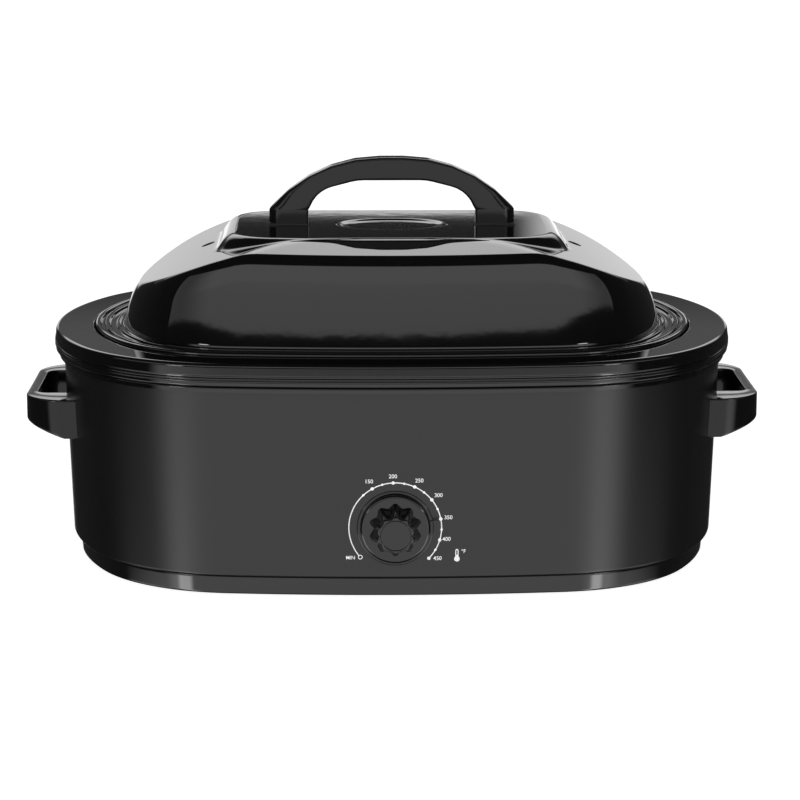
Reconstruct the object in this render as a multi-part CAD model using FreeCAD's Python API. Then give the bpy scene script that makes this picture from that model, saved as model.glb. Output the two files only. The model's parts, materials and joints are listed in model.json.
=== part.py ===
import FreeCAD, Part
import math
import os

# Electric roaster oven. Millimetres, +X right, +Y rear, +Z up.
# The origin is the middle of the plane that the feet stand on. The dial faces -Y.

V = FreeCAD.Vector
UP = V(0, 0, 1)
FORWARD = V(0, -1, 0)
REARWARD = V(0, 1, 0)

# ---- Plan outline of the body at its foot: eight arcs, each tangent to the next ----
BODY_HALF_LENGTH = 262.0
BODY_HALF_DEPTH = 194.0
SIDE_RADIUS = 1200.0        # long front and rear arcs
END_RADIUS = 253.0
CORNER_RADIUS = 133.0

# ---- Heights of the base ----
RING_LIFT = 1.5             # lower edge of the base ring above the floor
RING_TOP = 16.9
BODY_RISE = 149.5           # from the base ring to the top edge of the body
PLATE_FLOOR = 8.0           # underside of the base plate
BODY_TOP = RING_TOP + BODY_RISE

# ---- Sheet thicknesses ----
BODY_SHEET = 0.6
WELL_SHEET = 0.6
RING_SHEET = 0.8
PLATE_SHEET = 0.6
PAN_SHEET = 0.9
LID_SHEET = 0.7

# ---- Clearances ----
LOOSE_SEAT = 0.3            # under a piece that lifts off
HOLE_PLAY = 0.1             # round a screw, on the radius
SHAFT_PLAY = 0.05           # round the turning shaft, on the radius
TIP_PLAY = 1.0              # past the end of a screw or shaft
DRILL = 22.0                # long enough to pass through a wall
NEAR = 0.01                 # two heights this close are the same
STRAIGHT = 1e-4             # a turn or a run under this is none

# ---- Body and base ring, as distances out from the plan outline ----
BODY_FLARE = 5.5            # how far the body leans out by its top edge
BODY_HEM = 18.0             # width of the in-turned foot of the body
BODY_BEND = 2.0
BODY_SLOPE = BODY_FLARE / BODY_RISE
BODY_WALL = BODY_SHEET * math.hypot(1, BODY_SLOPE)      # the leaning sheet, measured level
RING_STEP = 4.6             # the ring stands this far inside the body's foot
RING_TAPER = 1.3
RING_LIP = 15.4             # width of the ring's top lip
RING_HEM = 4.0
PLATE_PLAY = 2.6            # between the ring's wall and the base plate's rim
PLATE_RIM = 13.5            # width of the base plate's rim
PLATE_SLOPE = 2.0
PLATE_FLAT = 36.0           # the plate's flat floor starts this far inside its rim

# ---- Heating well ----
WELL_HEM_OUT = 9.3
WELL_HEM_DROP = 4.5
WELL_MOUTH = -17.0
WELL_TAPER = 8.5
WELL_DEPTH = 127.0
WELL_BEND = 28.0
WELL_MOUTH_BEND = 4.0
WELL_TOP = BODY_TOP + WELL_SHEET
WELL_FLOOR = WELL_TOP - WELL_DEPTH
WELL_SLOPE = WELL_TAPER / WELL_DEPTH
WELL_LEAN = math.hypot(1, WELL_SLOPE)       # level width of a leaning sheet of unit thickness

# ---- Cooking pan ----
PAN_RIM_OUT = 13.2
PAN_RIM_IN = 4.5
PAN_SKIRT = 17.7            # height of the rim's skirt
PAN_EDGE_BEND = 3.2
PAN_CURL_IN = 1.0
PAN_CURL_BEND = 2.5
PAN_FLANGE = 31.6           # flat top of the rim, outer edge to recess
PAN_RECESS = 4.0
PAN_RECESS_SLOPE = 1.6
PAN_RECESS_BEND = 1.5
PAN_RECESS_FOOT_BEND = 1.0
PAN_LEDGE = 7.0
PAN_LEDGE_BEND = 3.0
PAN_DEPTH = 137.0
PAN_TAPER = 8.5
PAN_BEND = 24.0
PAN_BASE = WELL_TOP + LOOSE_SEAT
PAN_TOP = PAN_BASE + PAN_SKIRT
PAN_FLOOR = PAN_TOP - PAN_DEPTH
PAN_LEDGE_TOP = PAN_TOP - PAN_RECESS
RECESS_EDGE = PAN_RIM_OUT - PAN_FLANGE
RECESS_FOOT = RECESS_EDGE - PAN_RECESS_SLOPE
PAN_WALL = RECESS_FOOT - PAN_LEDGE

# ---- Lid ----
LID_BEAD_PLAY = 0.6         # between the lid's outer bead and the foot of the recess
LID_BEAD_HEIGHT = 6.2
LID_BEAD_WIDTH = 5.2
LID_WEB_DROP = 3.0
LID_WALL = -44.0            # foot of the dome, from the plan outline
LID_FOOT_RISE = 3.5         # from the web to the foot of the dome
LID_MID_BEAD = 1.6
LID_MID_BEAD_HALF = 3.0
LID_STEP = 1.0              # run of a slope between two levels of the brim
LID_TOP_MARGIN = 0.5        # from the handle's foot to the end of the flat top
LID_BASE = PAN_LEDGE_TOP + LOOSE_SEAT
LID_BEAD_OUT = RECESS_FOOT - LID_BEAD_PLAY
LID_WEB = LID_BASE + LID_BEAD_HEIGHT - LID_WEB_DROP
LID_FOOT = LID_WEB + LID_FOOT_RISE
# The dome's level sections: rise above the foot, and how far the end, the side and the
# corner's radius have drawn in there. The ends are stretched to meet the top's length.
LID_STATIONS = (
    (0.0, 0.0, 0.0, 0.0),
    (22.5, 6.0, 5.0, 3.0),
    (28.0, 10.0, 6.2, 8.0),
    (36.0, 21.0, 8.4, 18.0),
    (46.0, 38.0, 11.0, 33.0),
    (54.5, 58.0, 14.0, 50.0),
    (61.0, 75.0, 21.0, 60.0),
    (66.0, 88.0, 31.0, 66.0),
    (70.0, 99.0, 43.0, 71.0),
    (73.5, 109.0, 55.0, 74.0),
    (76.0, 118.0, 65.0, 76.0),
)
LID_TOP = LID_FOOT + LID_STATIONS[-1][0]

# ---- Bridge handle on the lid ----
GASKET = 1.5
HANDLE_RISE = 53.3          # from the gasket to the top of the bridge
HANDLE_THICK = 18.5         # depth of the bridge at its middle, measured downwards
HANDLE_HALF_SPAN = 99.5     # outer face of each foot
HANDLE_FOOT = 31.7          # length of each foot
HANDLE_WIDTH = 19.0
HANDLE_BEND = 117.0         # radius of the outer shoulders
HANDLE_BEND_IN = 36.2       # from a foot's outer face to where the shoulder's tangents meet
HANDLE_KNEE_DROP = 41.8     # from the top to the knee over a foot's outer face
HANDLE_KNEE = 4.0
HANDLE_FLAT = 28.0          # half length of the flat underside
HANDLE_FLAT_BEND = 40.0
HANDLE_ARCH_DROP = 10.2     # fall of the underside to the line of a foot's inner face
HANDLE_ARCH_BEND = 26.0
HANDLE_EDGE = 2.5
HANDLE_SCREW_R = 2.5
HANDLE_SCREW_REACH = 22.0
HANDLE_WASHER_R = 8.0
HANDLE_WASHER = 1.2
HANDLE_HEAD_R = 4.6
HANDLE_HEAD = 3.2
HANDLE_BASE = LID_TOP + GASKET
HANDLE_SCREW_X = HANDLE_HALF_SPAN - HANDLE_FOOT / 2

# ---- Side handles ----
GRIP_OUT = 33.0             # outer face beyond the body's foot outline
GRIP_HALF_WIDTH = 82.0
GRIP_CORNER = 37.0
GRIP_BAR = 8.2
GRIP_ARM = 34.0
GRIP_WINDOW_BEND = 9.0
GRIP_TOP = 134.0
GRIP_ROOT_HEIGHT = 31.6
GRIP_BAR_HEIGHT = 20.5
GRIP_EDGE = 1.6
GRIP_SCREW_Y = 65.0
GRIP_SCREW_Z = 118.0
GRIP_SCREW_R = 2.0
GRIP_SCREW_REACH = 23.0
WEDGE_WIDTH = 20.0
WEDGE_HEIGHT = 20.0
WEDGE_IN = 13.5             # flat inner face of a wedge, in from the body's foot outline

# ---- Dial and thermostat ----
DIAL_Z = 57.0
BEZEL_R = 29.3
BEZEL_INNER_R = 25.6
BEZEL_PROUD = 1.6
KNOB_R = 27.0
KNOB_PROUD = 6.4            # face of the knob's disc in front of the wall
KNOB_GAP = 0.5              # between the knob's disc and the bezel
KNOB_WALL = 1.6
GRIP_BASE_R = 20.0
GRIP_CAP_R = 14.0
GRIP_LENGTH = 19.4
GRIP_LOBES = 10
LOBE_CUT_R = 4.2
LOBE_CUT_DEPTH = 2.6
LOBE_CUT_TIP = 1.0          # depth of a scallop at the cap
HUB_R = 6.5
CAP_R = 11.5
CAP_THICK = 1.2
SHAFT_R = 3.0
SHAFT_FLAT = 1.4
SHAFT_IN = 14.0             # length of the shaft behind the wall
SHAFT_OUT = 20.0            # length of the shaft in front of the wall
CLIP_THICK = 0.8
CLIP_LENGTH = 9.0
NECK_R = 4.8
NECK_PLAY = 0.4
BRACKET_LENGTH = 46.0
BRACKET_HEIGHT = 30.0
BRACKET_SHEET = 1.2
BRACKET_GAP = 1.4           # between the bracket and the wall at the dial's axis
BRACKET_BOSS_R = 4.5
THERMOSTAT_LENGTH = 36.0
THERMOSTAT_HEIGHT = 28.0
THERMOSTAT_DEPTH = 15.0
DIAL_SCREW_X = 14.0
DIAL_SCREW_R = 1.75
DIAL_HEAD_R = 3.4
DIAL_HEAD = 1.8
DIAL_HEAD_GAP = 0.2         # under a screw's head, for the wall's curve
DIAL_SCREW_REACH = 5.0      # into the thermostat's case

# ---- Heater, insulation and shield ----
BAND_HEIGHT = 18.0
BAND_THICK = 2.0
BAND_PLAY = 0.1             # between the well, the bands, the clamps and the blanket
BAND_LOWS = (80.0, 112.0)
BAND_GAP = 16.0
CLAMP_LENGTH = 34.0
CLAMP_THICK = 1.5
CLAMP_DEPTH = 4.5           # of the plate, before it is shaped to the band
TERMINAL = 5.0
TERMINAL_THICK = 1.0
TERMINAL_REACH = 7.0
BLANKET_LOW = 76.0
BLANKET_HIGH = 140.0
BLANKET_THICK = 8.0
BLANKET_GAP = 60.0
PAD_THICK = 8.0
PAD_INSET = 54.0
SHIELD_THICK = 0.8
STANDOFF_X = 110.0
STANDOFF_R = 4.0
COLLAR_R = 8.0
COLLAR_THICK = 2.0

# ---- Screws of the base ----
BASE_SCREW_INSET = 13.5
BASE_SCREW_X = 115.0
BASE_SCREW_Y = 62.0
BASE_SCREW_R = 2.0
SCREW_HEAD_R = 3.8
SCREW_HEAD = 2.4
BASE_SCREW_REACH = 6.2
NUT_R = 4.0
NUT_HEIGHT = 3.0

# ---- Feet and vents of the base plate ----
FOOT_END_INSET = 97.0       # middle of a foot, in from the end
FOOT_SIDE_INSET = 99.0
FOOT_R = 12.0
FOOT_STEM_R = 4.0
FOOT_HEAD_R = 6.0
FOOT_HEAD = 2.0
FOOT_CHAMFER = 1.0
VENT_COUNT = 7
VENT_PITCH = 14.0
VENT_LENGTH = 60.0
VENT_WIDTH = 4.0
VENT_Y = 62.0

# ---- Wiring ----
WIRE_R = 1.5
WIRE_BEND = 12.0
WIRE_TURN = 45.0            # from the front or rear outline to where a wire starts to climb
WIRE_RISE = 3.0             # lowest wires above the base plate
BLOCK_ASIDE = 30.0          # middle of the terminal block, further out than the inlet
BLOCK_INSET = 66.0          # middle of the terminal block, in from the rear
BLOCK_LENGTH = 34.0
BLOCK_DEPTH = 16.0
BLOCK_HEIGHT = 13.0
INLET_X = 112.0
BLOCK_X = INLET_X + BLOCK_ASIDE
BLOCK_Y = BODY_HALF_DEPTH - BLOCK_INSET
INLET_Z = 46.0
INLET_BORE_R = 4.0
INLET_NECK_R = 6.5
INLET_FLANGE_R = 9.5
INLET_FLANGE = 2.5
INLET_BACK = 2.5
BULB_R = 3.0
BULB_LENGTH = 56.0
BULB_CLIP_SHIFT = 18.5      # from the bulb's middle to each clip
BULB_X = 62.0
BULB_Z = 69.0
CAPILLARY_R = 0.9
CAPILLARY_BEND = 1.8
FUSE_R = 3.0
FUSE_LENGTH = 14.0
FUSE_X = 44.0
EARTH_R = 2.5

# ---- Roasting rack ----
RACK_INSET = 60.0
RACK_RIM_R = 2.5
RACK_WIRE_R = 1.6
RACK_PITCH = 24.0
RACK_END_GAP = 30.0         # at least this from the last cross wire to the end of the rim
RACK_BEND = 3.2
RACK_LEG = 12.0
RACK_LEG_X = 120.0
RACK_LOOP = 9.0
RACK_LOOP_HALF = 32.0


# ======================= Plan outline =======================

def meeting_point(centre_a, reach_a, centre_b, reach_b):
    """The outer of the two points at reach_a from centre_a and reach_b from centre_b."""
    dx = centre_b[0] - centre_a[0]
    dy = centre_b[1] - centre_a[1]
    apart = math.hypot(dx, dy)
    along = (reach_a ** 2 - reach_b ** 2 + apart ** 2) / (2 * apart)
    aside = math.sqrt(reach_a ** 2 - along ** 2)
    x = centre_a[0] + (along * dx + aside * dy) / apart
    y = centre_a[1] + (along * dy - aside * dx) / apart
    return x, y


def oval_arcs(half_length, half_depth, side_r, end_r, corner_r):
    """The eight arcs of an oval, anticlockwise: (centre x, centre y, radius, start, end)."""
    side = (0.0, half_depth - side_r)
    end = (half_length - end_r, 0.0)
    cx, cy = meeting_point(side, side_r - corner_r, end, end_r - corner_r)
    low = math.degrees(math.atan2(cy, cx - end[0]))
    high = math.degrees(math.atan2(cy - side[1], cx))
    return [
        (end[0], 0.0, end_r, -low, low),
        (cx, cy, corner_r, low, high),
        (0.0, side[1], side_r, high, 180 - high),
        (-cx, cy, corner_r, 180 - high, 180 - low),
        (-end[0], 0.0, end_r, 180 - low, 180 + low),
        (-cx, -cy, corner_r, 180 + low, 180 + high),
        (0.0, -side[1], side_r, 180 + high, 360 - high),
        (cx, -cy, corner_r, 360 - high, 360 - low),
    ]


def body_arcs(outset=0.0):
    """The plan outline, moved out by outset."""
    return oval_arcs(BODY_HALF_LENGTH + outset, BODY_HALF_DEPTH + outset,
                     SIDE_RADIUS + outset, END_RADIUS + outset, CORNER_RADIUS + outset)


def arcs_wire(arcs, z):
    """A closed wire of tangent arcs at height z."""
    edges = [Part.makeCircle(r, V(x, y, z), UP, start, end) for x, y, r, start, end in arcs]
    return Part.Wire(edges)


def oval_slab(outset, z, height):
    """A flat slab with the plan outline moved out by outset."""
    return Part.Face(arcs_wire(body_arcs(outset), z)).extrude(V(0, 0, height))


def side_y(x, outset):
    """Distance from the X axis to the rear outline, moved out by outset, at x."""
    radius = SIDE_RADIUS + outset
    return BODY_HALF_DEPTH - SIDE_RADIUS + math.sqrt(radius ** 2 - x ** 2)


def end_x(y, outset):
    """Distance from the Y axis to the right-hand outline, moved out by outset, at y."""
    radius = END_RADIUS + outset
    return BODY_HALF_LENGTH - END_RADIUS + math.sqrt(radius ** 2 - y ** 2)


def body_outset(z):
    """How far the body's outer face stands outside the plan outline at height z."""
    return BODY_SLOPE * (z - RING_TOP)


def well_outset(z):
    """How far the well's outer wall stands outside the plan outline at height z."""
    return WELL_MOUTH - WELL_SLOPE * (WELL_TOP - z) + WELL_SHEET * WELL_LEAN


# ======================= Profiles =======================

def turn_left(x, y):
    return -y, x


def unit(start, end):
    """Direction from start to end."""
    length = math.hypot(end[0] - start[0], end[1] - start[1])
    return (end[0] - start[0]) / length, (end[1] - start[1]) / length


def offset_path(points, distance):
    """An open path of (x, y, corner radius) moved to its left, each radius kept concentric."""
    moved = []
    for i, (x, y, radius) in enumerate(points):
        before = unit(points[max(i - 1, 0)], points[max(i, 1)])
        after = unit(points[min(i, len(points) - 2)], points[min(i + 1, len(points) - 1)])
        nx, ny = turn_left(*before)
        mx, my = turn_left(*after)
        reach = distance / (1 + nx * mx + ny * my)
        turn = before[0] * after[1] - before[1] * after[0]
        bend = radius - math.copysign(distance, turn) if radius else 0.0
        moved.append((x + (nx + mx) * reach, y + (ny + my) * reach, max(bend, 0.0)))
    return moved


def sheet(points, thickness):
    """Closed section of a sheet: the path, and the same path moved to its left."""
    return list(points) + offset_path(points, thickness)[::-1]


def rounded_wire(points, place):
    """A closed wire through (x, y, corner radius). place puts a flat point into space."""
    edges = []
    count = len(points)
    cuts = []
    for i, (x, y, radius) in enumerate(points):
        back = unit(points[i], points[i - 1])
        ahead = unit(points[i], points[(i + 1) % count])
        dot = max(-1.0, min(1.0, back[0] * ahead[0] + back[1] * ahead[1]))
        half = math.acos(dot) / 2
        if radius <= 0.0 or half > math.pi / 2 - STRAIGHT:
            cuts.append(((x, y), None, (x, y)))
            continue
        run = radius / math.tan(half)
        middle = unit((0, 0), (back[0] + ahead[0], back[1] + ahead[1]))
        depth = radius / math.sin(half) - radius
        cuts.append(((x + back[0] * run, y + back[1] * run),
                     (x + middle[0] * depth, y + middle[1] * depth),
                     (x + ahead[0] * run, y + ahead[1] * run)))
    for i, (enter, bulge, leave) in enumerate(cuts):
        if bulge:
            edges.append(Part.Arc(place(*enter), place(*bulge), place(*leave)).toShape())
        next_enter = cuts[(i + 1) % count][0]
        if math.dist(leave, next_enter) > STRAIGHT:
            edges.append(Part.makeLine(place(*leave), place(*next_enter)))
    return Part.Wire(edges)


def flat_plan(z):
    """Puts a flat point at height z."""
    return lambda x, y: V(x, y, z)


def upright(y):
    """Puts a flat (x, z) point into the plane at depth y."""
    return lambda x, z: V(x, y, z)


def fused(solids):
    """One solid from several that touch or overlap."""
    joined = solids[0].multiFuse(solids[1:]) if len(solids) > 1 else solids[0]
    return joined.removeSplitter()


def carried_round(outline, arcs):
    """Turns a closed upright outline about the centre of each plan arc, and closes the skins up."""
    skins = []
    for x, y, radius, start, end in arcs:
        skin = outline.translated(V(radius, 0, 0)).revolve(V(0, 0, 0), UP, end - start)
        skin.rotate(V(0, 0, 0), UP, start)
        skin.translate(V(x, y, 0))
        skins.extend(skin.Faces)
    shell = Part.Compound(skins)
    shell.sewShape()
    solid = Part.Solid(shell.Shells[0])
    if solid.Volume < 0:
        solid.reverse()
    return solid


def round_the_body(section):
    """Carries a section of (outset, height, corner radius) round the plan outline."""
    return carried_round(rounded_wire(section, upright(0.0)), body_arcs())


def cylinder(radius, height, base, axis=UP):
    return Part.makeCylinder(radius, height, base, axis)


def box(low, high):
    """A block between two corners."""
    return Part.makeBox(high[0] - low[0], high[1] - low[1], high[2] - low[2], V(*low))


def mirrored_x(shape):
    """The same shape on the other side of the YZ plane."""
    return shape.mirror(V(0, 0, 0), V(1, 0, 0))


def hexagon_prism(radius, height, base):
    """A nut's blank standing on base, radius measured across its corners."""
    corners = [V(base.x + radius * math.cos(math.radians(60 * k)),
                 base.y + radius * math.sin(math.radians(60 * k)), base.z) for k in range(6)]
    return Part.Face(Part.makePolygon(corners + corners[:1])).extrude(V(0, 0, height))


def bent_tube(points, radius, bend):
    """A round wire along straight runs, with a tangent arc of radius bend at each corner."""
    pieces = []
    start = V(*points[0])
    for i in range(1, len(points)):
        corner = V(*points[i])
        if i == len(points) - 1:
            pieces.append(Part.makeLine(start, corner))
            break
        back = (V(*points[i - 1]) - corner).normalize()
        ahead = (V(*points[i + 1]) - corner).normalize()
        half = back.getAngle(ahead) / 2
        run = bend / math.tan(half)
        middle = (back + ahead).normalize()
        enter = corner + back * run
        leave = corner + ahead * run
        bulge = corner + middle * (bend / math.sin(half) - bend)
        pieces.append(Part.makeLine(start, enter))
        pieces.append(Part.Arc(enter, bulge, leave).toShape())
        start = leave
    path = Part.Wire(pieces)
    first = V(*points[0])
    circle = Part.Wire(Part.makeCircle(radius, first, V(*points[1]) - first))
    return path.makePipeShell([circle], True, True)


# ======================= Base =======================

def base_screw_spots():
    """Plan places of the screws that hold the body, the ring and the base plate together."""
    y = side_y(BASE_SCREW_X, -BASE_SCREW_INSET)
    x = end_x(BASE_SCREW_Y, -BASE_SCREW_INSET)
    long_sides = [(sx * BASE_SCREW_X, sy * y) for sx in (-1, 1) for sy in (-1, 1)]
    ends = [(sx * x, sy * BASE_SCREW_Y) for sx in (-1, 1) for sy in (-1, 1)]
    return long_sides + ends


def base_screw_holes():
    """Drills for the base screws, through every sheet of the foot."""
    radius = BASE_SCREW_R + HOLE_PLAY
    low = PLATE_FLOOR
    return [cylinder(radius, RING_TOP + BODY_BEND - low, V(x, y, low)) for x, y in base_screw_spots()]


def standoff_spots():
    return [(-STANDOFF_X, 0.0), (STANDOFF_X, 0.0)]


def foot_spots():
    x = BODY_HALF_LENGTH - FOOT_END_INSET
    y = BODY_HALF_DEPTH - FOOT_SIDE_INSET
    return [(sx * x, sy * y) for sx in (-1, 1) for sy in (-1, 1)]


def grip_screw_spots():
    return [(side, sy * GRIP_SCREW_Y) for side in (-1, 1) for sy in (-1, 1)]


def make_body_shell():
    """Painted wrap with an in-turned foot, open at the top, drilled for dial, handles and inlet."""
    edge = BODY_TOP - BODY_SHEET * BODY_SLOPE
    section = sheet([(-BODY_HEM, RING_TOP, 0), (0, RING_TOP, BODY_BEND), (body_outset(edge), edge, 0)],
                    BODY_SHEET)
    shell = round_the_body(section)
    drills = base_screw_holes()
    front = V(0, -BODY_HALF_DEPTH - BODY_FLARE, DIAL_Z)
    drills.append(cylinder(NECK_R + NECK_PLAY, DRILL, front, REARWARD))
    for x in (-DIAL_SCREW_X, DIAL_SCREW_X):
        drills.append(cylinder(DIAL_SCREW_R + HOLE_PLAY, DRILL, front + V(x, 0, 0), REARWARD))
    for side, y in grip_screw_spots():
        start = V(side * (BODY_HALF_LENGTH - WEDGE_IN), y, GRIP_SCREW_Z)
        drills.append(cylinder(GRIP_SCREW_R + HOLE_PLAY, GRIP_OUT, start, V(side, 0, 0)))
    behind = V(INLET_X, side_y(INLET_X, -DRILL / 2), INLET_Z)
    drills.append(cylinder(INLET_NECK_R + HOLE_PLAY, DRILL, behind, REARWARD))
    return shell.cut(drills)


def make_base_ring():
    """Plinth under the body: wall, top lip for the screws and a small hem at its foot."""
    foot = -RING_STEP - RING_TAPER
    section = sheet([(foot - RING_HEM, RING_LIFT, 0), (foot, RING_LIFT, BODY_BEND),
                     (-RING_STEP, RING_TOP, BODY_BEND), (-RING_STEP - RING_LIP, RING_TOP, 0)],
                    RING_SHEET)
    return round_the_body(section).cut(base_screw_holes())


def plate_rim():
    """Outset of the base plate's outer edge."""
    return -RING_STEP - RING_TAPER - PLATE_PLAY


def make_bottom_plate():
    """Dished sheet that closes the base, with vents and holes for feet, standoffs and screws."""
    outer = plate_rim()
    rim_top = RING_TOP - RING_SHEET
    floor_top = PLATE_FLOOR + PLATE_SHEET
    wall = outer - PLATE_RIM
    section = sheet([(outer, rim_top, 0), (wall, rim_top, BODY_BEND),
                     (wall - PLATE_SLOPE, floor_top, BODY_BEND), (outer - PLATE_FLAT, floor_top, 0)],
                    PLATE_SHEET)
    floor = oval_slab(outer - PLATE_FLAT, PLATE_FLOOR, PLATE_SHEET)
    plate = fused([round_the_body(section), floor])
    drills = base_screw_holes()
    below = PLATE_FLOOR - PLATE_SHEET
    deep = 3 * PLATE_SHEET
    for x, y in foot_spots():
        drills.append(cylinder(FOOT_STEM_R + HOLE_PLAY, deep, V(x, y, below)))
    for x, y in standoff_spots():
        drills.append(cylinder(BASE_SCREW_R + HOLE_PLAY, deep, V(x, y, below)))
    drills.append(cylinder(EARTH_R + HOLE_PLAY, deep, V(*earth_spot(), below)))
    for side in (-1, 1):
        for k in range(VENT_COUNT):
            x = (k - (VENT_COUNT - 1) / 2) * VENT_PITCH
            y = side * VENT_Y
            drills.append(box((x - VENT_WIDTH / 2, y - VENT_LENGTH / 2, below),
                              (x + VENT_WIDTH / 2, y + VENT_LENGTH / 2, below + deep)))
    return plate.cut(drills)


def make_rubber_feet():
    """Four moulded feet, each snapped through the base plate by its own stem and head."""
    feet = []
    for x, y in foot_spots():
        pad = cylinder(FOOT_R, PLATE_FLOOR, V(x, y, 0))
        pad = pad.makeChamfer(FOOT_CHAMFER, [e for e in pad.Edges if e.BoundBox.ZMax < NEAR])
        stem = cylinder(FOOT_STEM_R, PLATE_SHEET, V(x, y, PLATE_FLOOR))
        head = Part.makeCone(FOOT_HEAD_R, FOOT_STEM_R, FOOT_HEAD, V(x, y, PLATE_FLOOR + PLATE_SHEET))
        feet.append(fused([pad, stem, head]))
    return Part.Compound(feet)


def screw_up(x, y, seat, reach, radius):
    """A pan-head screw driven upwards, its head against the underside at height seat."""
    head = cylinder(SCREW_HEAD_R, SCREW_HEAD, V(x, y, seat - SCREW_HEAD))
    slot = box((x - SCREW_HEAD_R / 2, y - radius / 4, seat - SCREW_HEAD),
               (x + SCREW_HEAD_R / 2, y + radius / 4, seat - SCREW_HEAD / 2))
    shank = cylinder(radius, reach, V(x, y, seat))
    return fused([head.cut(slot), shank])


def make_base_screws():
    """Screws up through the base plate, the ring's lip and the body's in-turned foot."""
    seat = RING_TOP - RING_SHEET - PLATE_SHEET
    screws = [screw_up(x, y, seat, BASE_SCREW_REACH, BASE_SCREW_R) for x, y in base_screw_spots()]
    return Part.Compound(screws)


def make_base_nuts():
    """Nuts on the body's in-turned foot."""
    nuts = []
    top = RING_TOP + BODY_SHEET
    for x, y in base_screw_spots():
        blank = hexagon_prism(NUT_R, NUT_HEIGHT, V(x, y, top))
        nuts.append(blank.cut(cylinder(BASE_SCREW_R + HOLE_PLAY, NUT_HEIGHT, V(x, y, top))))
    return Part.Compound(nuts)


def make_heating_well():
    """Pressed liner: hem over the body's edge, flange, leaning wall, round bend and floor."""
    inner = WELL_MOUTH - WELL_TAPER
    flat = inner - 2 * WELL_BEND
    section = sheet([(WELL_HEM_OUT, WELL_TOP - WELL_HEM_DROP, 0), (WELL_HEM_OUT, WELL_TOP, BODY_BEND),
                     (WELL_MOUTH, WELL_TOP, WELL_MOUTH_BEND), (inner, WELL_FLOOR, WELL_BEND),
                     (flat, WELL_FLOOR, 0)], WELL_SHEET)
    floor = oval_slab(flat, WELL_FLOOR - WELL_SHEET, WELL_SHEET)
    return fused([round_the_body(section), floor])


def wall_band(low, high, gap, thickness):
    """Section along the well's outer wall, stood off by gap."""
    level = gap * WELL_LEAN
    path = [(well_outset(high) + level, high, 0), (well_outset(low) + level, low, 0)]
    return sheet(path, thickness)


def band_outset(z):
    """How far the bands' outer face stands outside the plan outline at height z."""
    return well_outset(z) + (BAND_PLAY + BAND_THICK) * WELL_LEAN


def rear_gap(width, low, high):
    """Block that opens a ring at the rear middle."""
    return box((-width / 2, 0, low), (width / 2, BODY_HALF_DEPTH, high))


def make_heating_bands():
    """Two flat heater bands round the well, each open at the rear."""
    bands = []
    for low in BAND_LOWS:
        ring = round_the_body(wall_band(low, low + BAND_HEIGHT, BAND_PLAY, BAND_THICK))
        bands.append(ring.cut(rear_gap(BAND_GAP, low, low + BAND_HEIGHT)))
    return Part.Compound(bands)


def clamp_rear(low):
    """Depth of a clamp's flat rear face."""
    return side_y(0, band_outset(low + BAND_HEIGHT)) + BAND_PLAY + CLAMP_THICK


def make_band_clamps():
    """Plates that bridge the gap of each band, shaped to the band behind them."""
    clamps = []
    for low in BAND_LOWS:
        high = low + BAND_HEIGHT
        rear = clamp_rear(low)
        plate = box((-CLAMP_LENGTH / 2, rear - CLAMP_DEPTH, low), (CLAMP_LENGTH / 2, rear, high))
        foot = band_outset(low) + BAND_PLAY
        brow = band_outset(high) + BAND_PLAY
        core = round_the_body([(foot, low, 0), (brow, high, 0), (brow - DRILL, high, 0),
                               (foot - DRILL, low, 0)])
        clamps.append(plate.cut(core))
    return Part.Compound(clamps)


def make_band_terminals():
    """Flat tabs that stand up from the ends of the bands for the wires."""
    tabs = []
    low = BAND_LOWS[-1] + BAND_HEIGHT
    for x in (-TERMINAL - BAND_GAP / 2, BAND_GAP / 2):
        rear = side_y(0, band_outset(low))
        tabs.append(box((x, rear - TERMINAL_THICK, low), (x + TERMINAL, rear, low + TERMINAL_REACH)))
    return Part.Compound(tabs)


def make_insulation_blanket():
    """Glass wool strip round the bands, open at the rear for the clamps."""
    section = wall_band(BLANKET_LOW, BLANKET_HIGH, 2 * BAND_PLAY + BAND_THICK, BLANKET_THICK)
    return round_the_body(section).cut(rear_gap(BLANKET_GAP, BLANKET_LOW, BLANKET_HIGH))


def standoff_holes(low, height):
    return [cylinder(STANDOFF_R + HOLE_PLAY, height, V(x, y, low)) for x, y in standoff_spots()]


def pad_floor():
    return WELL_FLOOR - WELL_SHEET - PAD_THICK


def make_insulation_pad():
    """Glass wool pad against the well's floor."""
    return oval_slab(-PAD_INSET, pad_floor(), PAD_THICK).cut(standoff_holes(pad_floor(), PAD_THICK))


def make_heat_shield():
    """Aluminium sheet that carries the pad, held up by the standoffs' collars."""
    low = pad_floor() - SHIELD_THICK
    return oval_slab(-PAD_INSET, low, SHIELD_THICK).cut(standoff_holes(low, SHIELD_THICK))


def make_well_standoffs():
    """Collared posts between the base plate and the well's floor, bored for their screws."""
    posts = []
    foot = PLATE_FLOOR + PLATE_SHEET
    collar = pad_floor() - SHIELD_THICK - COLLAR_THICK
    for x, y in standoff_spots():
        post = cylinder(STANDOFF_R, WELL_FLOOR - WELL_SHEET - foot, V(x, y, foot))
        ring = cylinder(COLLAR_R, COLLAR_THICK, V(x, y, collar))
        bore = cylinder(BASE_SCREW_R + HOLE_PLAY, 2 * BASE_SCREW_REACH, V(x, y, foot))
        posts.append(fused([post, ring]).cut(bore))
    return Part.Compound(posts)


def make_standoff_screws():
    """Screws from below into the standoffs."""
    screws = [screw_up(x, y, PLATE_FLOOR, BASE_SCREW_REACH, BASE_SCREW_R) for x, y in standoff_spots()]
    return Part.Compound(screws)


# ======================= Side handles =======================

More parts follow.
